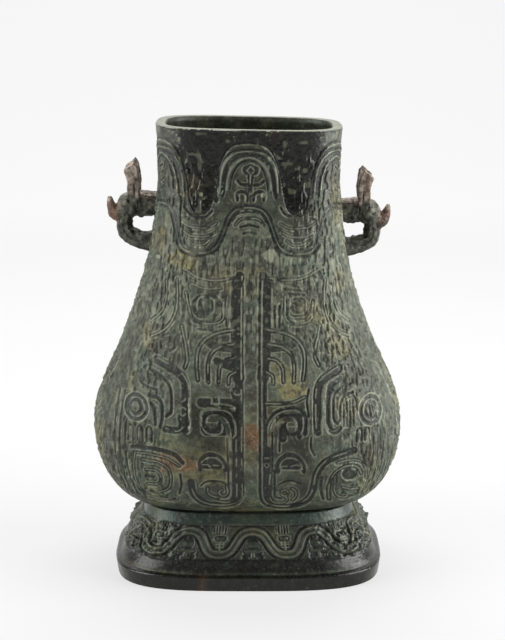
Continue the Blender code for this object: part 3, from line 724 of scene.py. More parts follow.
def foot_relief(field):
    """The foot's wave ribbon with its lines, its signs and its borders."""
    turn, z, length = field["turn"], field["z"], field["length"]
    away = curve_distance(turn * length, z, lambda s: foot_middle(s / length), 0.009)
    half = FOOT_RIBBON * 500
    off = np.abs(away)
    ribbon = 1 - smoothstep(half - 0.7, half + 0.7, off)
    zone = smoothstep(COVE_TOP - 0.0004, COVE_TOP + 0.0008, z)
    zone = zone * (1 - smoothstep(BAND_BASE - 0.0006, BAND_BASE, z))
    cut = zone * most(0.75 * lined(off, 0.0, 1.9), lined(off, half + 1.6, 3.0))
    line = zone * 0.9 * lined(off, half - 0.9, 1.4)
    borders = ((COVE_TOP * 1000 + 0.9, 1.5), (BAND_BASE * 1000 - 0.6, 1.5), (FOOT_HEIGHT * 1000 - 1.0, 3.2))
    for height, width in borders:
        cut = most(cut, lined(z * 1000, height, width))
    wave = foot_wave(turn)
    period = float(np.median(length)) * 4 / FOOT_WAVES * 1000
    panel = Panel((wave - np.round(wave)) * period, z * 1000)
    foot_marks(panel, period)
    outside = (1 - ribbon) * zone
    cut = most(cut, panel.cut * (1 - panel.flat) * outside)
    line = most(line, panel.line * outside)
    return ribbon * zone, cut, line


def fields(points, normals, lengths, shares):
    """What the relief functions read at each point of a wall grid, as flat arrays."""
    shape = points.shape[:2]
    flat = points.reshape(-1, 3)
    return {
        "x": flat[:, 0], "y": flat[:, 1], "z": flat[:, 2], "normal": normals.reshape(-1, 3), "points": flat,
        "turn": np.broadcast_to(shares, shape).reshape(-1),
        "length": np.broadcast_to(lengths, shape).reshape(-1),
    }


def front_drawing(panel):
    front_left(panel)
    front_right(panel)
    neck_marks(panel)


def back_drawing(panel):
    """The hidden face, plainer: the right half's ornament on both halves."""
    for flip in (-1, 1):
        panel.flip, panel.middle = flip, BAND_MIDDLE
        front_right(panel, True)
    panel.flip, panel.middle = 1, 0.0
    neck_marks(panel, True)


def side_drawing(panel):
    body_side(panel)
    neck_side(panel)


def draw_faces(field):
    """Draws each face on the points that look its way, and gathers what was cut, kept, raised and rimmed."""
    layers = np.zeros((4, len(field["x"])))
    nx, ny = field["normal"][:, 0], field["normal"][:, 1]
    sideways = np.abs(nx) > SIDE_SLANT * np.abs(ny)
    turn, length = field["turn"], field["length"] * 1000
    from_front = np.where(turn < 2, turn, turn - 4) * length
    faces = (
        (~sideways & (ny < 0), from_front, front_drawing),
        (~sideways & (ny >= 0), (turn - 2) * length, back_drawing),
        (sideways & (nx > 0), (turn - 1) * length, side_drawing),
        (sideways & (nx <= 0), (3 - turn) * length, side_drawing),
    )
    for chosen, across, draw in faces:
        where = np.nonzero(chosen)[0]
        spots = field["points"][where]
        stray = [ripple(spots, (0.0070, seed, 0.5), (0.0026, seed, 0.3)) for seed in (61.0, 71.0)]
        panel = Panel(across[where] + stray[0], field["z"][where] * 1000 + stray[1])
        draw(panel)
        layers[:, where] = panel.cut, panel.flat, panel.line, panel.rim
    return layers


def body_relief(field):
    """What is cast in the wall over the foot: raised ribbon, cuts, thin lines, rims of cuts, and crust."""
    z, turn, points = field["z"], field["turn"], field["points"]
    cut, flat, line, rim = draw_faces(field)
    # The shoulder's cuts are half worn away, but not those beside the middle band
    loose = smoothstep(0.235, 0.285, z) * (1 - smoothstep(0.375, 0.40, z))
    aside = smoothstep(0.018, 0.045, np.abs(field["x"] - BAND_MIDDLE * MM))
    cut = cut * (1 - flat) * (1 - loose * aside * (0.15 + 0.60 * noise(points, 0.012, 91.0)))
    # On the wave only its ribbon carries the marks drawn on the face, and a strip under it carries none
    ribbon, wave_cut, wave_line = neck_relief(field)
    above = z > neck_edges(turn)[1] + 0.002
    keep = np.where(above, ribbon > 0.8, (z < 0.352) | (z > 0.385))
    pit_away = np.hypot(field["x"] * 1000 - NECK_PIT[0], z * 1000 - NECK_PIT[1])
    pit = (field["y"] < 0) * (1 - smoothstep(1.3, 2.1, pit_away))
    cut = most(cut * keep, wave_cut, pit)
    line = most(line * keep, wave_line) * blotches(points, 0.0080, 81.0, 0.22, 0.42)
    rim = rim * keep * (1 - cut) * blotches(points, 0.0070, 95.0, 0.28, 0.55)
    # The crust is thickest on the corners and the shoulder, in upright flakes
    tooth = blotches(points * (1, 1, 0.24), 0.0024, 51.0, 0.50, 0.60)
    corner = smoothstep(0.26, 0.46, np.minimum(turn % 2, 2 - turn % 2))
    height = smoothstep(0.096, 0.106, z) * (1 - smoothstep(0.465, 0.48, z))
    busy = height * most(corner, loose * 0.9, np.full(len(z), 0.12))
    rough = tooth * busy * (1 - np.clip(cut + line, 0, 1))
    return ribbon, cut, line, rim, rough


def added(name, data):
    """A new object in the scene."""
    obj = bpy.data.objects.new(name, data)
    bpy.context.scene.collection.objects.link(obj)
    return obj


def give_values(mesh, tints):
    """Stores at each point of a mesh the values that its material reads."""
    for key, values in tints.items():
        attribute = mesh.attributes.new(key, "FLOAT", "POINT")
        attribute.data.foreach_set("value", values.astype(np.float32))


def make_mesh(name, vertices, faces, tints, columns, sharp_rows):
    """A mesh of quads with smooth shading, creased along whole rows of its grid."""
    mesh = bpy.data.meshes.new(name)
    mesh.vertices.add(len(vertices))
    mesh.vertices.foreach_set("co", vertices.astype(np.float32).ravel())
    mesh.loops.add(faces.size)
    mesh.loops.foreach_set("vertex_index", faces.astype(np.int32).ravel())
    mesh.polygons.add(len(faces))
    mesh.polygons.foreach_set("loop_start", np.arange(0, faces.size, 4, dtype=np.int32))
    mesh.polygons.foreach_set("use_smooth", np.ones(len(faces), dtype=bool))
    mesh.update(calc_edges=True)
    mesh.validate()
    ends = np.zeros(len(mesh.edges) * 2, dtype=np.int32)
    mesh.edges.foreach_get("vertices", ends)
    rows = ends.reshape(-1, 2) // columns
    creased = (rows[:, 0] == rows[:, 1]) & np.isin(rows[:, 0], sharp_rows)
    mesh.attributes.new("sharp_edge", "BOOLEAN", "EDGE").data.foreach_set("value", creased)
    give_values(mesh, tints)
    return added(name, mesh)


def grid_faces(rows, columns):
    """Quads between neighbouring rows of a closed band."""
    start = np.arange(rows - 1)[:, None] * columns
    i = np.arange(columns)
    j = (i + 1) % columns
    quads = np.stack([start + i, start + j, start + columns + j, start + columns + i], axis=2)
    return quads.reshape(-1, 4)


def closing_faces(rows, columns):
    """Quads from a grid's last row back to its first."""
    last = (rows - 1) * columns
    i = np.arange(columns)
    j = (i + 1) % columns
    return np.stack([last + i, last + j, j, i], axis=1)


def sunk_panels(field):
    """The darker ground of the two tall panels beside the middle band, low on the front."""
    x, z = field["x"] * 1000, field["z"] * 1000
    across = most(window(-66, -9, 2.5, x), window(19, 70, 2.5, x))
    blotch = (0.25 + 0.55 * noise(field["points"], 0.013, 33.0)) * np.where(x > 0, 0.7, 1.0)
    return across * window(106, 214, 4, z) * (field["y"] < 0) * blotch


def patches(field):
    """Where the surface has its own tints: rust, olive and pale spots at places seen in the picture."""
    x, z, points = field["x"] * 1000, field["z"] * 1000, field["points"]
    front = (field["y"] < 0).astype(float)
    ragged = ripple(points, (0.012, 0.0, 1.1), (0.004, 5.0, 0.6))

    def patch(centre, radii):
        reach = np.hypot((x - centre[0]) / radii[0], (z - centre[1]) / radii[1])
        return front * (1 - smoothstep(0.75, 1.05, reach + ragged))

    rust = most(patch((-80.0, 149.0), (26.0, 10.0)), patch((10.0, 178.0), (19.0, 14.0)),
                0.5 * blotches(points, 0.030, 11.0, 0.70, 0.80) * (1 - front))
    olive = most(patch((47.0, 229.0), (20.0, 12.0)), patch((-72.0, 361.0), (22.0, 11.0)),
                 patch((-94.0, 386.0), (6.0, 9.0)), 0.5 * blotches(points, 0.034, 3.0, 0.60, 0.74))
    pale = 0.6 * blotches(points, 0.0030, 21.0, 0.80, 0.92) * blotches(points, 0.035, 31.0, 0.45, 0.62)
    for centre in ((98.0, 394.0), (-51.0, 431.0), (15.0, 431.0), (-97.0, 360.0)):
        pale = most(pale, patch(centre, (3.0, 3.0)))
    pale = most(pale, 0.9 * patch((22.0, 367.0), (8.0, 6.0)), 0.5 * patch((44.0, 362.0), (14.0, 5.0)))
    return rust, olive, pale


def inner_rows(z_low, z_high, count):
    """Rows of the wall's inside between two heights, a wall's thickness in and square to the slope."""
    z = np.linspace(z_low, z_high, count)
    outside = body_profile(z)
    small = 0.0004
    slope = (body_half(z + small)[:, 0] - body_half(z - small)[:, 0]) / (2 * small)
    slope = np.clip(slope, -3, 3)
    thick = BODY_WALL + (LIP_THICKNESS - BODY_WALL) * smoothstep(HEIGHT - LIP_BLEND, HEIGHT, z)
    slant = np.hypot(1.0, slope)
    rows = outside.copy()
    rows[:, 0] -= thick / slant
    rows[:, 1] -= thick / slant
    rows[:, 3] += thick * slope / slant
    return rows


def finish_piece(obj, material):
    obj.data.materials.append(material)
    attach(obj, "root")
    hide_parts(NODE)
    return obj


def wall_height(field, relief):
    """How far each point of the wall's outside stands out from its plain form, in millimetres."""
    ribbon, cut, line, rim, rough = relief
    flat = field["points"]
    grain = ripple(flat, (0.0034, 2.0, 0.36), (0.0016, 8.0, 0.26))
    swell = ripple(flat, (0.022, 14.0, 0.5))
    edge_on = smoothstep(0.80, 0.96, np.abs(field["normal"][:, 0])) * window(0.10, 0.42, 0.01, field["z"])
    crust = edge_on * ripple(flat, (0.0052, 17.0, 2.6), (0.0024, 19.0, 1.4))
    cast = NECK_RIBBON_HEIGHT * ribbon - GROOVE_DEPTH * cut * (1 - LINE_FILL * line) + 0.25 * (line + rim)
    return cast - CRUST_DEPTH * rough + grain + swell + crust


def wall_tints(field, relief):
    """The values that the bronze reads on the wall's outside."""
    ribbon, cut, line, rim, rough = relief
    z, flat = field["z"], field["points"]
    rust, olive, pale = patches(field)
    plain_neck = (1 - ribbon) * smoothstep(-0.002, 0.002, z - neck_edges(field["turn"])[0])
    spots = blotches(flat, 0.0075, 27.0, 0.69, 0.78) * 0.30
    specks = blotches(flat, 0.0032, 29.0, 0.79, 0.87) * blotches(flat, 0.024, 31.0, 0.40, 0.60)
    mottle = window(0.275, 0.395, 0.03, z) * blotches(flat, 0.0042, 35.0, 0.52, 0.72) * 0.34
    # Where the plain neck turns to the sides its dark colour is lessened: painted light from the side lamps.
    painted_side_light = smoothstep(0.42, 0.75, np.abs(field["normal"][:, 0]))
    return {
        "groove": most(cut * (1 - 0.9 * line), 0.5 * rough),
        "ridge": most(line, 0.72 * rim),
        "rust": rust,
        "olive": olive * (1 - 0.7 * plain_neck),
        "pale": most(pale, plain_neck * most(spots, 0.75 * specks), mottle),
        "dark": most(plain_neck * (1 - 0.62 * painted_side_light), 0.35 * ribbon, sunk_panels(field)),
        "teal": 0.5 * cut,
    }


def with_inside(tints, count, dark):
    """The outside's values, followed by those of the plain inside's points, whose dark value is painted
    shade.
    """
    padded = {key: np.concatenate([values, np.zeros(count)]) for key, values in tints.items()}
    padded["dark"][-count:] = dark
    return padded


def modelled(profile, shares, relief_of, height_of, tints_of):
    """A wall's outside with its relief, as a grid of points, and what the bronze reads at them."""
    points, lengths = wall(profile, shares)
    normals = wall_normals(points)
    field = fields(points, normals, lengths, shares)
    relief = relief_of(field)
    push = height_of(field, relief) * MM
    return points + push.reshape(points.shape[:2])[..., None] * normals, tints_of(field, relief)


def wall_piece(name, z_low, z_high, material):
    """A closed ring of the body's wall with its relief outside and a plain inside."""
    shares = column_shares()
    outside = spaced(body_profile(np.linspace(z_low, z_high, 400)), ROW_STEP)
    is_top = z_high >= HEIGHT
    if is_top:
        outside[:, 3] = np.minimum(outside[:, 3], HEIGHT - EDGE_ROUND)
    moved, tints = modelled(outside, shares, body_relief, wall_height, wall_tints)
    inside = inner_rows(z_low, z_high, 14 if is_top else 8)[::-1]
    if is_top:
        inside[0, 3] -= EDGE_ROUND
        rim_half = body_half(HEIGHT)[0]
        lip = [[*(rim_half - inset), NECK_SQUARENESS, HEIGHT]
               for inset in (EDGE_ROUND, LIP_THICKNESS - EDGE_ROUND)]
        inside = np.vstack([lip, inside])
    grid = np.concatenate([moved, wall(inside, shares)[0]])
    rows, columns = grid.shape[:2]
    count = len(moved) * columns
    # The inside's dark value of 0.35 is painted shade.
    tints = with_inside(tints, rows * columns - count, 0.35)
    # The lip's top rows are lighter and never dark: a painted highlight where the lip catches the light from
    # above.
    if is_top:
        tints["dark"][count:count + 2 * columns] = 0.0
        tints["ridge"][count:count + 2 * columns] = 0.85
    top_row = len(moved) - 1
    sharp_rows = (0, rows - 1) if is_top else (0, top_row, top_row + 1, rows - 1)
    faces = np.concatenate([grid_faces(rows, columns), closing_faces(rows, columns)])
    obj = make_mesh(name, lean(grid).reshape(-1, 3), faces, tints, columns, sharp_rows)
    return finish_piece(obj, material)


def lid(row, columns):
    """Quads across the small ring that a disc's rings end in."""
    i = np.arange(columns // 2 - 1)
    return np.stack([i, i + 1, columns - 2 - i, columns - 1 - i], axis=1) + row * columns


def cap_rings(half, squareness, z, shares):
    """Rings that close a disc towards its middle."""
    rows = np.array([[*(half * scale), squareness, z] for scale in np.linspace(1.0, 0.002, 10)])
    return wall(rows, shares)[0]


def foot_height(field, relief):
    """How far each point of the foot's outside stands out from its plain form, in millimetres."""
    ribbon, cut, line = relief
    z, flat = field["z"], field["points"]
    grain = ripple(flat, (0.0032, 2.0, 0.25), (0.0013, 8.0, 0.2))
    # The corners are thickly corroded, and fuller in the cove and low in the wave's zone
    aside = np.abs((field["turn"] + 1) % 2 - 1)
    corner = window(0.40, 0.88, 0.10, aside)
    fill = corner * bump((PLINTH_HEIGHT + COVE_TOP) / 2 - 0.001, 0.0085, z) * 2.2
    low = 1 - smoothstep(COVE_TOP, BAND_BASE, z)
    lumps = ripple(flat, (0.0062, 41.0, 6.0), (0.0026, 43.0, 3.4)) + 3.0 * low
    lumps = lumps * corner * window(COVE_TOP, BAND_BASE, 0.002, z)
    cast = FOOT_RIBBON_HEIGHT * ribbon - GROOVE_DEPTH * cut * (1 - LINE_FILL * line) + 0.2 * line
    return np.where(z < EDGE_ROUND, 0, cast + grain + fill + lumps)


def foot_tints(field, relief):
    """The values that the bronze reads on the foot's outside."""
    cut, line = relief[1:]
    z = field["z"]
    olive, pale = patches(field)[1:]
    # The cove's dark colour is painted shade: it feeds both the groove colour and the dark bronze.
    cove = window(PLINTH_HEIGHT + 0.002, COVE_TOP + 0.003, 0.003, z)
    plinth = 1 - smoothstep(PLINTH_HEIGHT, PLINTH_HEIGHT + 0.002, z)
    plain_band = smoothstep(BAND_BASE, BAND_BASE + 0.002, z)
    return {
        "groove": most(cut * (1 - 0.9 * line), 0.9 * cove, 0.35 * plinth),
        "ridge": 0.5 * line,
        "rust": bump(-50.0, 9.0, field["x"] * 1000) * plinth * (field["y"] < 0) * 0.35,
        "olive": olive * 0.4 * (1 - plinth),
        "pale": pale * 0.5,
        "dark": np.clip(plinth + 0.7 * cove, 0.52, 1),
        "teal": np.clip(plain_band * 0.8 + cut * 0.5, 0, 1),
    }


def foot_piece(name, material):
    """Foot, plinth and floor as one closed shell: outside, over the floor, and back through the hollow."""
    shares = column_shares()
    profile = spaced(foot_profile(), ROW_STEP)
    moved, tints = modelled(profile, shares, foot_relief, foot_height, foot_tints)
    moved[0, :, 2] = 0.0
    seat = cap_rings(WAIST - BODY_WALL / 2, WAIST_SQUARENESS, FOOT_HEIGHT + FLOOR_THICKNESS / 2, shares)
    ceiling = cap_rings(WAIST - FOOT_WALL, FOOT_SQUARENESS, FOOT_HEIGHT - FLOOR_THICKNESS / 2, shares)[::-1]
    inner = PLINTH - PLINTH_LEDGE - FOOT_WALL
    hollow = [[*(PLINTH - COVE_INSET - FOOT_WALL), FOOT_SQUARENESS, COVE_TOP],
              [*inner, FOOT_SQUARENESS, PLINTH_HEIGHT], [*inner, FOOT_SQUARENESS, 0.0]]
    grid = np.concatenate([moved, seat, ceiling, wall(np.array(hollow), shares)[0]])
    rows, columns = grid.shape[:2]
    faces = grid_faces(rows, columns)
    join = len(moved) + len(seat) - 1
    faces = faces[(faces[:, 0] // columns) != join]
    lids = [lid(join, columns), lid(join + 1, columns)[:, ::-1]]
    faces = np.concatenate([faces, closing_faces(rows, columns)] + lids)
    # The hollow's dark value of 0.6 is painted shade.
    tints = with_inside(tints, (rows - len(moved)) * columns, 0.6)
    obj = make_mesh(name, lean(grid).reshape(-1, 3), faces, tints, columns, (0, len(moved) - 1, rows - 1))
    return finish_piece(obj, material)


def spline_points(route, count):
    """A handle's route with more places on it."""
    stops = np.linspace(0.0, 1.0, len(route))
    places = np.linspace(0.0, 1.0, count)
    return np.stack([smooth_curve(list(zip(stops, values)), places) for values in zip(*route)], axis=1)


def tube(route, count, width):
    """A tapered bar along a route, as a mesh in metres out from the neck and up from the arm."""
    curve = bpy.data.curves.new("tube", "CURVE")
    curve.dimensions = "3D"
    curve.bevel_depth = HANDLE_REACH
    curve.bevel_resolution = 6
    curve.use_fill_caps = True
    spline = curve.splines.new("POLY")
    points = spline_points(route, count)
    spline.points.add(len(points) - 1)
    for point, (out, up, radius) in zip(spline.points, points):
        point.co = (out * HANDLE_REACH, 0.0, up * HANDLE_REACH, 1.0)
        point.radius = radius
    obj = added("tube", curve)
    obj.scale.y = width / (2 * max(row[2] for row in route) * HANDLE_REACH)
    return baked(obj)


def horn(front):
    """One of the two flat notched horns, splayed out."""
    curve = bpy.data.curves.new("horn", "CURVE")
    curve.dimensions = "2D"
    curve.fill_mode = "BOTH"
    curve.extrude = HORN_THICKNESS / 2
    spline = curve.splines.new("POLY")
    spline.points.add(len(HORN_OUTLINE) - 1)
    for point, (out, up) in zip(spline.points, HORN_OUTLINE):
        point.co = (out * HANDLE_REACH, up * HANDLE_REACH, 0.0, 1.0)
    spline.use_cyclic_u = True
    obj = added("horn", curve)
    obj.rotation_euler.x = math.pi / 2 + front * HORN_SPLAY
    obj.location.y = -front * HORN_SPREAD
    return baked(obj)


def skull():
    mesh = bpy.data.meshes.new("skull")
    bm = bmesh.new()
    bmesh.ops.create_uvsphere(bm, u_segments=32, v_segments=20, radius=1.0)
    for vert in bm.verts:
        vert.co.x = (HEAD_CENTRE[0] + vert.co.x * HEAD_RADIUS) * HANDLE_REACH
        vert.co.y *= HEAD_WIDTH / 2
        vert.co.z = (HEAD_CENTRE[1] + vert.co.z * HEAD_RADIUS) * HANDLE_REACH
    bm.to_mesh(mesh)
    bm.free()
    return added("skull", mesh)


def baked(obj):
    """The object's evaluated mesh as a new object, in place of the curve."""
    bpy.context.view_layer.update()
    mesh = bpy.data.meshes.new_from_object(obj.evaluated_get(bpy.context.evaluated_depsgraph_get()))
    mesh.transform(obj.matrix_world)
    bpy.data.objects.remove(obj)
    return added("part", mesh)


def neck_core(drop):
    """A solid that fills the body from within its wall, in a handle's own place, to cut its ends."""
    columns, count = 96, 15
    profile = body_profile(np.linspace(0.33, 0.47, count))
    profile[:, :2] -= BODY_WALL / 2
    grid = wall(profile, np.linspace(0, 4, columns + 1)[:-1])[0]
    grid[..., 0] -= body_half(ARM_Z)[0][0]
    grid[..., 2] -= ARM_Z - drop
    faces = [tuple(int(i) for i in face) for face in grid_faces(count, columns)]
    faces.append(tuple(range(columns))[::-1])
    faces.append(tuple(range((count - 1) * columns, count * columns)))
    mesh = bpy.data.meshes.new("core")
    mesh.from_pydata([tuple(place) for place in grid.reshape(-1, 3)], [], faces)
    return added("core", mesh)


def line_distance(points, path):
    """Distance of each point to a path of places in space."""
    path = np.asarray(path, dtype=float)
    best = np.full(len(points), 1e9)
    for a, b in zip(path, path[1:]):
        d = b - a
        t = np.clip(((points - a) @ d) / max(d @ d, 1e-12), 0, 1)[:, None]
        best = np.minimum(best, np.linalg.norm(points - a - t * d, axis=1))
    return best


def handle_parts(name):
    """A handle's overlapping parts as one loose mesh."""
    parts = [tube(ARM_ROUTE, 8, HANDLE_WIDTH), tube(LOOP_ROUTE, 40, LOOP_WIDTH), skull(),
             tube(SNOUT_ROUTE, 24, SNOUT_WIDTH), horn(1), horn(-1)]
    mesh = bpy.data.meshes.new(name)
    verts, faces = [], []
    for part in parts:
        start = len(verts)
        verts += [tuple(v.co) for v in part.data.vertices]
        faces += [tuple(start + i for i in p.vertices) for p in part.data.polygons]
        bpy.data.objects.remove(part)
    mesh.from_pydata(verts, [], faces)
    return mesh


def fused_handle(name, drop):
    """A handle's parts as one even mesh, cut off within the neck's wall."""
    obj = added(name, handle_parts(name))
    weld = obj.modifiers.new("Weld", "WELD")
    weld.merge_threshold = 0.00002
    remesh = obj.modifiers.new("Fuse", "REMESH")
    remesh.mode = "VOXEL"
    remesh.voxel_size = HANDLE_VOXEL
    soften = obj.modifiers.new("Soften", "SMOOTH")
    soften.factor = 0.5
    soften.iterations = 4
    core = neck_core(drop)
    trim = obj.modifiers.new("Trim", "BOOLEAN")
    trim.operation = "DIFFERENCE"
    trim.solver = "MANIFOLD"
    trim.object = core
    bpy.context.view_layer.update()
    fused = bpy.data.meshes.new_from_object(obj.evaluated_get(bpy.context.evaluated_depsgraph_get()))
    bpy.data.objects.remove(core)
    obj.modifiers.clear()
    obj.data = fused
    return obj


def ring(centre, radius, across):
    """A round path on a handle's side."""
    angle = np.linspace(0, 2 * math.pi, 17)
    out, up = centre[0] + radius * np.cos(angle), centre[1] + radius * np.sin(angle)
    return np.column_stack([out, np.full(len(angle), across), up])


class Carving:
    """Grooves and raised lines on a handle, along paths in units of its reach, alike on both its halves."""

    def __init__(self, unit):
        self.places = unit * (1, 0, 1) + np.abs(unit) * (0, 1, 0)
        self.cut = np.zeros(len(unit))
        self.raised = np.zeros(len(unit))

    def carve(self, path, width, depth):
        away = line_distance(self.places, path) * HANDLE_REACH * 1000
        self.cut = most(self.cut, depth * (1 - smoothstep(width / 2 - 0.4, width / 2 + 0.5, away)))

    def build_up(self, path, width, height):
        away = line_distance(self.places, path) * HANDLE_REACH * 1000
        self.raised = most(self.raised, height * (1 - smoothstep(width / 2 - 0.5, width / 2 + 0.7, away)))


def carved(unit):
    """The head's eyes and mouth, the horns' folds and ribs, and the grooves of arm and loop."""
    work = Carving(unit)
    work.carve(ring(EYE_CENTRE, 0.085, EYE_SIDE), 1.8, 0.8)
    work.build_up(ring(EYE_CENTRE, 0.020, EYE_SIDE), 3.0, 0.8)
    work.carve([(0.70, 0.15, -0.12), (0.86, 0.17, -0.05), (0.90, 0.12, 0.03)], 1.5, 0.7)
    work.carve([(0.84, 0.05, -0.10), (0.86, 0.05, -0.08)], 2.2, 0.9)
    work.carve([(0.42, 0.26, 0.08), (0.43, 0.30, 0.45), (0.45, 0.36, 0.74)], 1.8, 0.9)
    work.build_up([(0.50, 0.22, 0.10), (0.50, 0.28, 0.40), (0.47, 0.36, 0.80)], 1.6, 0.5)
    work.carve([(0.36, 0.22, 0.12), (0.36, 0.22, -0.16)], 1.8, 0.9)
    work.carve([(0.20, 0.10, 0.21), (0.34, 0.10, 0.21)], 1.8, 0.7)
    work.carve([(0.02, 0.16, 0.16), (0.34, 0.16, 0.16)], 1.8, 0.7)
    route = spline_points(LOOP_ROUTE, 12)[:, :2]
    angles = np.linspace(0.0, -math.pi * 0.55, len(route))
    for across in (0.0, 0.115):
        work.carve([(out + 0.10 * math.cos(angle), across, up + 0.14 * math.sin(angle))
                    for (out, up), angle in zip(route, angles)], 1.9, 0.9)
    work.carve([(out, 0.16, up) for out, up in route], 1.6, 0.7)
    for k in range(6):
        up, across = 0.12 + 0.12 * k, 0.02 * k
        work.build_up([(0.555 - 0.008 * k, 0.22 + across, up), (0.60, 0.24 + across, up + 0.03)], 1.2, 0.35)
    return work


def hole_crust(co, unit, normal, side):
    """The knobs inside the loop, which round off its hole, in millimetres."""
    to_hole = HOLE_CENTRE - unit
    to_hole[:, 1] = 0.0
    away = np.linalg.norm(to_hole, axis=1)
    facing = smoothstep(0.15, 0.6, (to_hole * normal).sum(axis=1) / np.maximum(away, 1e-6))
    facing = facing * (1 - smoothstep(0.42, 0.50, away))
    return facing * (ripple(co + side, (0.0036, 12.0, 3.6)) + 0.9 + 1.6 * smoothstep(0.27, 0.36, away))


def handle_tints(unit, normal, work, side):
    """The values that the handles' bronze reads: brown on horns, arm and snout, and red-brown spots."""
    out, up = unit[:, 0], unit[:, 2]
    on_snout = smoothstep(0.70, 0.78, out) * smoothstep(-0.40, -0.34, up)
    tan = np.clip(smoothstep(0.16, 0.30, up) + smoothstep(0.10, 0.2, up) * (out < 0.4), 0, 1)
    red = on_snout * (1 - smoothstep(0.0, 0.10, up))
    if side > 0:
        red = most(red, smoothstep(0.12, 0.5, up) * bump(0.50, 0.10, out) * 0.8)
    edge = smoothstep(0.35, 0.85, normal[:, 0]) * smoothstep(0.28, 0.36, up) * (out < 0.62)
    return {"groove": np.clip(work.cut, 0, 1), "ridge": np.clip(most(work.raised, edge), 0, 1),
            "tan": most(tan, on_snout * 0.9), "red": red}


def vertex_values(mesh, key):
    values = np.zeros(len(mesh.vertices) * 3, np.float32)
    mesh.vertices.foreach_get(key, values)
    return values.reshape(-1, 3).astype(float)


def handle_piece(name, side, drop, material):
    """An animal-head loop handle, fused from its parts and then carved with eyes, ribs and grooves."""
    obj = fused_handle(name, drop)
    mesh = obj.data
    co, normal = vertex_values(mesh, "co"), vertex_values(mesh, "normal")
    unit = co / HANDLE_REACH
    work = carved(unit)
    grain = ripple(co + side, (0.0046, 2.0, 1.3), (0.0018, 8.0, 0.6))
    height = grain - work.cut + work.raised + hole_crust(co, unit, normal, side)
    co = co + normal * (height * MM)[:, None]
    base = body_half(ARM_Z)[0][0]
    placed = np.column_stack([side * (base + co[:, 0]), co[:, 1], co[:, 2] + ARM_Z - drop])
    mesh.vertices.foreach_set("co", lean(placed).astype(np.float32).ravel())
    if side < 0:
        mesh.flip_normals()
    mesh.update()
    mesh.shade_smooth()
    give_values(mesh, handle_tints(unit, normal, work, side))
    mesh.materials.clear()
    return finish_piece(obj, material)


class Nodes:
    """Short ways to make and join shader nodes."""

    def __init__(self, name):
        self.material = bpy.data.materials.new(name)
        self.material.use_nodes = True
        self.tree = self.material.node_tree
        self.shader = self.tree.nodes["Principled BSDF"]
        self.place = self.tree.nodes.new("ShaderNodeTexCoord").outputs["Object"]

    def plug(self, socket, value):
        if isinstance(value, bpy.types.NodeSocket):
            self.tree.links.new(value, socket)
        else:
            socket.default_value = value

    def attribute(self, name):
        node = self.tree.nodes.new("ShaderNodeAttribute")
        node.attribute_name = name
        return node.outputs["Fac"]

    def noise(self, scale, detail, roughness):
        node = self.tree.nodes.new("ShaderNodeTexNoise")
        node.inputs["Scale"].default_value = scale
        node.inputs["Detail"].default_value = detail
        node.inputs["Roughness"].default_value = roughness
        self.tree.links.new(self.place, node.inputs["Vector"])
        return node.outputs["Fac"]

    def ramp(self, value, low, high, out_low=0.0, out_high=1.0):
        node = self.tree.nodes.new("ShaderNodeMapRange")
        self.plug(node.inputs["Value"], value)
        limits = (("From Min", low), ("From Max", high), ("To Min", out_low), ("To Max", out_high))
        for key, number in limits:
            node.inputs[key].default_value = number
        return node.outputs["Result"]

    def maths(self, operation, a, b):
        node = self.tree.nodes.new("ShaderNodeMath")
        node.operation = operation
        node.use_clamp = True
        self.plug(node.inputs[0], a)
        self.plug(node.inputs[1], b)
        return node.outputs[0]

    def tinted(self, name, *ramp):
        """How much of a piece's own tint shows: its value at each point, times a ramp of a noise."""
        return self.maths("MULTIPLY", self.attribute(name), self.ramp(*ramp))

    def mix(self, share, a, b):
        node = self.tree.nodes.new("ShaderNodeMix")
        node.data_type = "RGBA"
        self.plug(node.inputs["Factor"], share)
        self.plug(node.inputs["A"], a)
        self.plug(node.inputs["B"], b)
        return node.outputs["Result"]

    def bump(self, height, strength, distance):
        node = self.tree.nodes.new("ShaderNodeBump")
        self.plug(node.inputs["Strength"], strength)
        node.inputs["Distance"].default_value = distance
        self.plug(node.inputs["Height"], height)
        return node.outputs["Normal"]


def rgb(red, green, blue):
    """A colour from its screen values, 0 to 255."""
    def linear(value):
        value = value / 255
        return value / 12.92 if value <= 0.04045 else ((value + 0.055) / 1.055) ** 2.4

    return (linear(red), linear(green), linear(blue), 1.0)


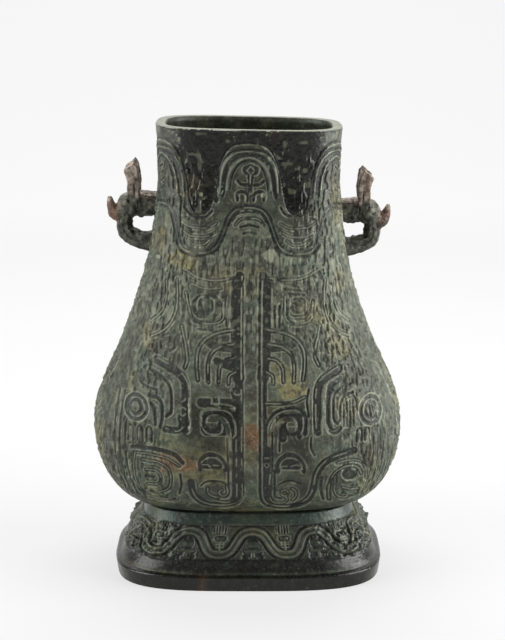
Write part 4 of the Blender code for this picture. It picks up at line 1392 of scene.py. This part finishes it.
def body_bronze():
    """Grey-green patina over dark brown bronze, with dark grooves, worn lines and tinted patches; also
    painted shade in the foot's cove and on the inside, painted light on the neck's sides, and a painted
    highlight on the lip.
    """
    n = Nodes("bronze_patina")
    broad = n.noise(24.0, 5.0, 0.62)
    middle = n.noise(95.0, 6.0, 0.72)
    fine = n.noise(330.0, 5.0, 0.78)
    in_dark = n.attribute("dark")
    colour = n.mix(n.ramp(broad, 0.36, 0.64), rgb(52, 52, 41), rgb(70, 76, 62))
    colour = n.mix(n.ramp(middle, 0.50, 0.66, 0.0, 0.75), colour, rgb(100, 104, 88))
    colour = n.mix(n.ramp(middle, 0.47, 0.34, 0.0, 0.75), colour, rgb(36, 36, 28))
    colour = n.mix(n.ramp(n.noise(15.0, 4.0, 0.6), 0.54, 0.68, 0.0, 0.45), colour, rgb(54, 78, 66))
    # Dark bronze of the plain neck, plinth and ribbons. In the cove and on the inside it is painted shade,
    # and on the neck's sides it is lessened as painted light.
    dark = n.mix(n.ramp(middle, 0.44, 0.72), rgb(12, 11, 9), rgb(32, 32, 26))
    colour = n.mix(in_dark, colour, dark)
    colour = n.mix(n.tinted("olive", middle, 0.38, 0.58, 0.0, 0.85), colour, rgb(128, 121, 74))
    rust = n.mix(n.ramp(fine, 0.38, 0.62), rgb(62, 45, 31), rgb(128, 88, 55))
    colour = n.mix(n.tinted("rust", middle, 0.32, 0.56, 0.2, 0.85), colour, rust)
    colour = n.mix(n.tinted("teal", broad, 0.3, 0.7, 0.3, 0.9), colour, rgb(40, 60, 52))
    # Groove colour: dark patina in the cut lines, and painted shade where the foot's cove is.
    groove = n.mix(n.ramp(middle, 0.52, 0.70), rgb(20, 19, 15), rgb(38, 45, 38))
    colour = n.mix(n.ramp(n.attribute("groove"), 0.12, 0.85, 0.0, 0.90), colour, groove)
    # Pale colour of worn raised lines and rims, and a painted highlight on the lip's top.
    colour = n.mix(n.tinted("ridge", middle, 0.3, 0.6, 0.45, 0.88), colour, rgb(128, 131, 112))
    colour = n.mix(n.maths("MULTIPLY", n.attribute("pale"), 0.7), colour, rgb(150, 153, 130))
    light_specks, dark_specks = n.ramp(fine, 0.56, 0.70, 0.0, 0.60), n.ramp(fine, 0.44, 0.32, 0.0, 0.70)
    colour = n.mix(n.maths("MULTIPLY", light_specks, n.ramp(in_dark, 0.0, 1.0, 1.0, 0.12)), colour,
                   rgb(140, 143, 123))
    colour = n.mix(n.maths("MULTIPLY", dark_specks, n.ramp(in_dark, 0.0, 1.0, 1.0, 0.3)), colour,
                   rgb(24, 23, 18))
    n.plug(n.shader.inputs["Base Color"], colour)
    gloss = n.ramp(in_dark, 0.0, 1.0, 0.0, 0.21)
    n.plug(n.shader.inputs["Roughness"], n.maths("SUBTRACT", n.ramp(fine, 0.35, 0.65, 0.39, 0.55), gloss))
    n.shader.inputs["Metallic"].default_value = 0.30
    grain = n.maths("ADD", n.maths("MULTIPLY", fine, 0.55), n.maths("MULTIPLY", middle, 0.45))
    n.plug(n.shader.inputs["Normal"], n.bump(grain, n.ramp(in_dark, 0.0, 1.0, 0.85, 0.10), 0.0016))
    return n.material


def handle_bronze():
    """The handles: grey-green heads with worn brown horns and red-brown snouts."""
    n = Nodes("bronze_patina_handles")
    middle = n.noise(110.0, 5.0, 0.70)
    fine = n.noise(380.0, 5.0, 0.75)
    colour = n.mix(n.ramp(middle, 0.40, 0.62), rgb(23, 22, 17), rgb(90, 92, 78))
    tan = n.mix(n.ramp(middle, 0.36, 0.64), rgb(100, 85, 72), rgb(176, 163, 150))
    colour = n.mix(n.tinted("tan", middle, 0.32, 0.55, 0.45, 1.0), colour, tan)
    red = n.mix(n.ramp(middle, 0.38, 0.62), rgb(30, 19, 9), rgb(92, 56, 29))
    colour = n.mix(n.maths("MULTIPLY", n.attribute("red"), 0.9), colour, red)
    colour = n.mix(n.maths("MULTIPLY", n.attribute("ridge"), 0.5), colour, rgb(140, 132, 114))
    colour = n.mix(n.ramp(n.attribute("groove"), 0.1, 0.8, 0.0, 0.92), colour, rgb(20, 17, 13))
    colour = n.mix(n.ramp(fine, 0.44, 0.32, 0.0, 0.6), colour, rgb(26, 23, 17))
    colour = n.mix(n.ramp(fine, 0.57, 0.70, 0.0, 0.5), colour, rgb(142, 138, 118))
    n.plug(n.shader.inputs["Base Color"], colour)
    n.plug(n.shader.inputs["Roughness"], n.ramp(fine, 0.35, 0.65, 0.36, 0.60))
    n.shader.inputs["Metallic"].default_value = 0.25
    n.plug(n.shader.inputs["Normal"], n.bump(fine, 0.8, 0.0014))
    return n.material


def backdrop():
    """A pale floor that curves up into a wall behind."""
    half, front, turn, top, radius = 4.0, -3.0, 2.2, 4.0, 1.2
    profile = [(front, 0.0), (turn, 0.0)]
    for angle in np.linspace(0, math.pi / 2, 16):
        profile.append((turn + radius * math.sin(angle), radius - radius * math.cos(angle)))
    profile.append((turn + radius, top))
    verts = [(x, y, z) for y, z in profile for x in (-half, half)]
    faces = [(2 * i, 2 * i + 1, 2 * i + 3, 2 * i + 2) for i in range(len(profile) - 1)]
    mesh = bpy.data.meshes.new("backdrop")
    mesh.from_pydata(verts, [], faces)
    mesh.shade_smooth()
    obj = added("backdrop", mesh)
    n = Nodes("backdrop_paper")
    n.shader.inputs["Base Color"].default_value = (0.20, 0.20, 0.20, 1.0)
    n.shader.inputs["Roughness"].default_value = 0.9
    n.shader.inputs["Specular IOR Level"].default_value = 0.0
    n.shader.inputs["Emission Color"].default_value = (1.0, 1.0, 1.0, 1.0)
    split = n.tree.nodes.new("ShaderNodeSeparateXYZ")
    n.tree.links.new(n.place, split.inputs["Vector"])
    n.plug(n.shader.inputs["Emission Strength"], n.ramp(split.outputs["Y"], 0.2, 2.5, FLOOR_GLOW, WALL_GLOW))
    mesh.materials.append(n.material)


def area_light(name, place, target, size, power):
    light = bpy.data.lights.new(name, "AREA")
    light.shape = "RECTANGLE"
    light.size, light.size_y = size
    light.energy = power
    obj = added(name, light)
    obj.location = place
    obj.rotation_euler = (Vector(target) - Vector(place)).to_track_quat("-Z", "Y").to_euler()


def light_and_camera():
    world = bpy.data.worlds.new("soft_room")
    world.use_nodes = True
    background = world.node_tree.nodes["Background"]
    background.inputs["Color"].default_value = (1.0, 1.0, 1.0, 1.0)
    background.inputs["Strength"].default_value = 0.15
    bpy.context.scene.world = world
    bpy.context.scene.view_settings.view_transform = "Standard"
    area_light("left", (-1.7, -0.55, 0.95), (0, 0, 0.28), (1.3, 1.8), 48)
    area_light("right", (1.7, -0.55, 0.95), (0, 0, 0.28), (1.3, 1.8), 51)
    area_light("right_strip", (1.5, 0.05, 0.34), (0, 0, 0.34), (0.26, 0.8), 12)
    area_light("top_behind", (0.0, 0.9, 2.0), (0, 0, 0.3), (2.2, 1.2), 45)
    camera = bpy.data.cameras.new("camera")
    camera.lens = CAMERA_LENS
    camera.sensor_width = CAMERA_SENSOR
    obj = added("camera", camera)
    obj.location = CAMERA_PLACE
    obj.rotation_euler = (math.pi / 2 - CAMERA_TILT, 0, 0)
    bpy.context.scene.camera = obj


light_and_camera()
backdrop()
bronze = body_bronze()
handle_finish = handle_bronze()
foot_piece("foot", bronze)
for name, low, high in zip(("belly_base", "belly", "shoulder", "neck_base", "neck"), SEAMS, SEAMS[1:]):
    wall_piece(name, low, high, bronze)
handle_piece("left_handle", -1, 0.0, handle_finish)
handle_piece("right_handle", 1, RIGHT_HANDLE_DROP, handle_finish)
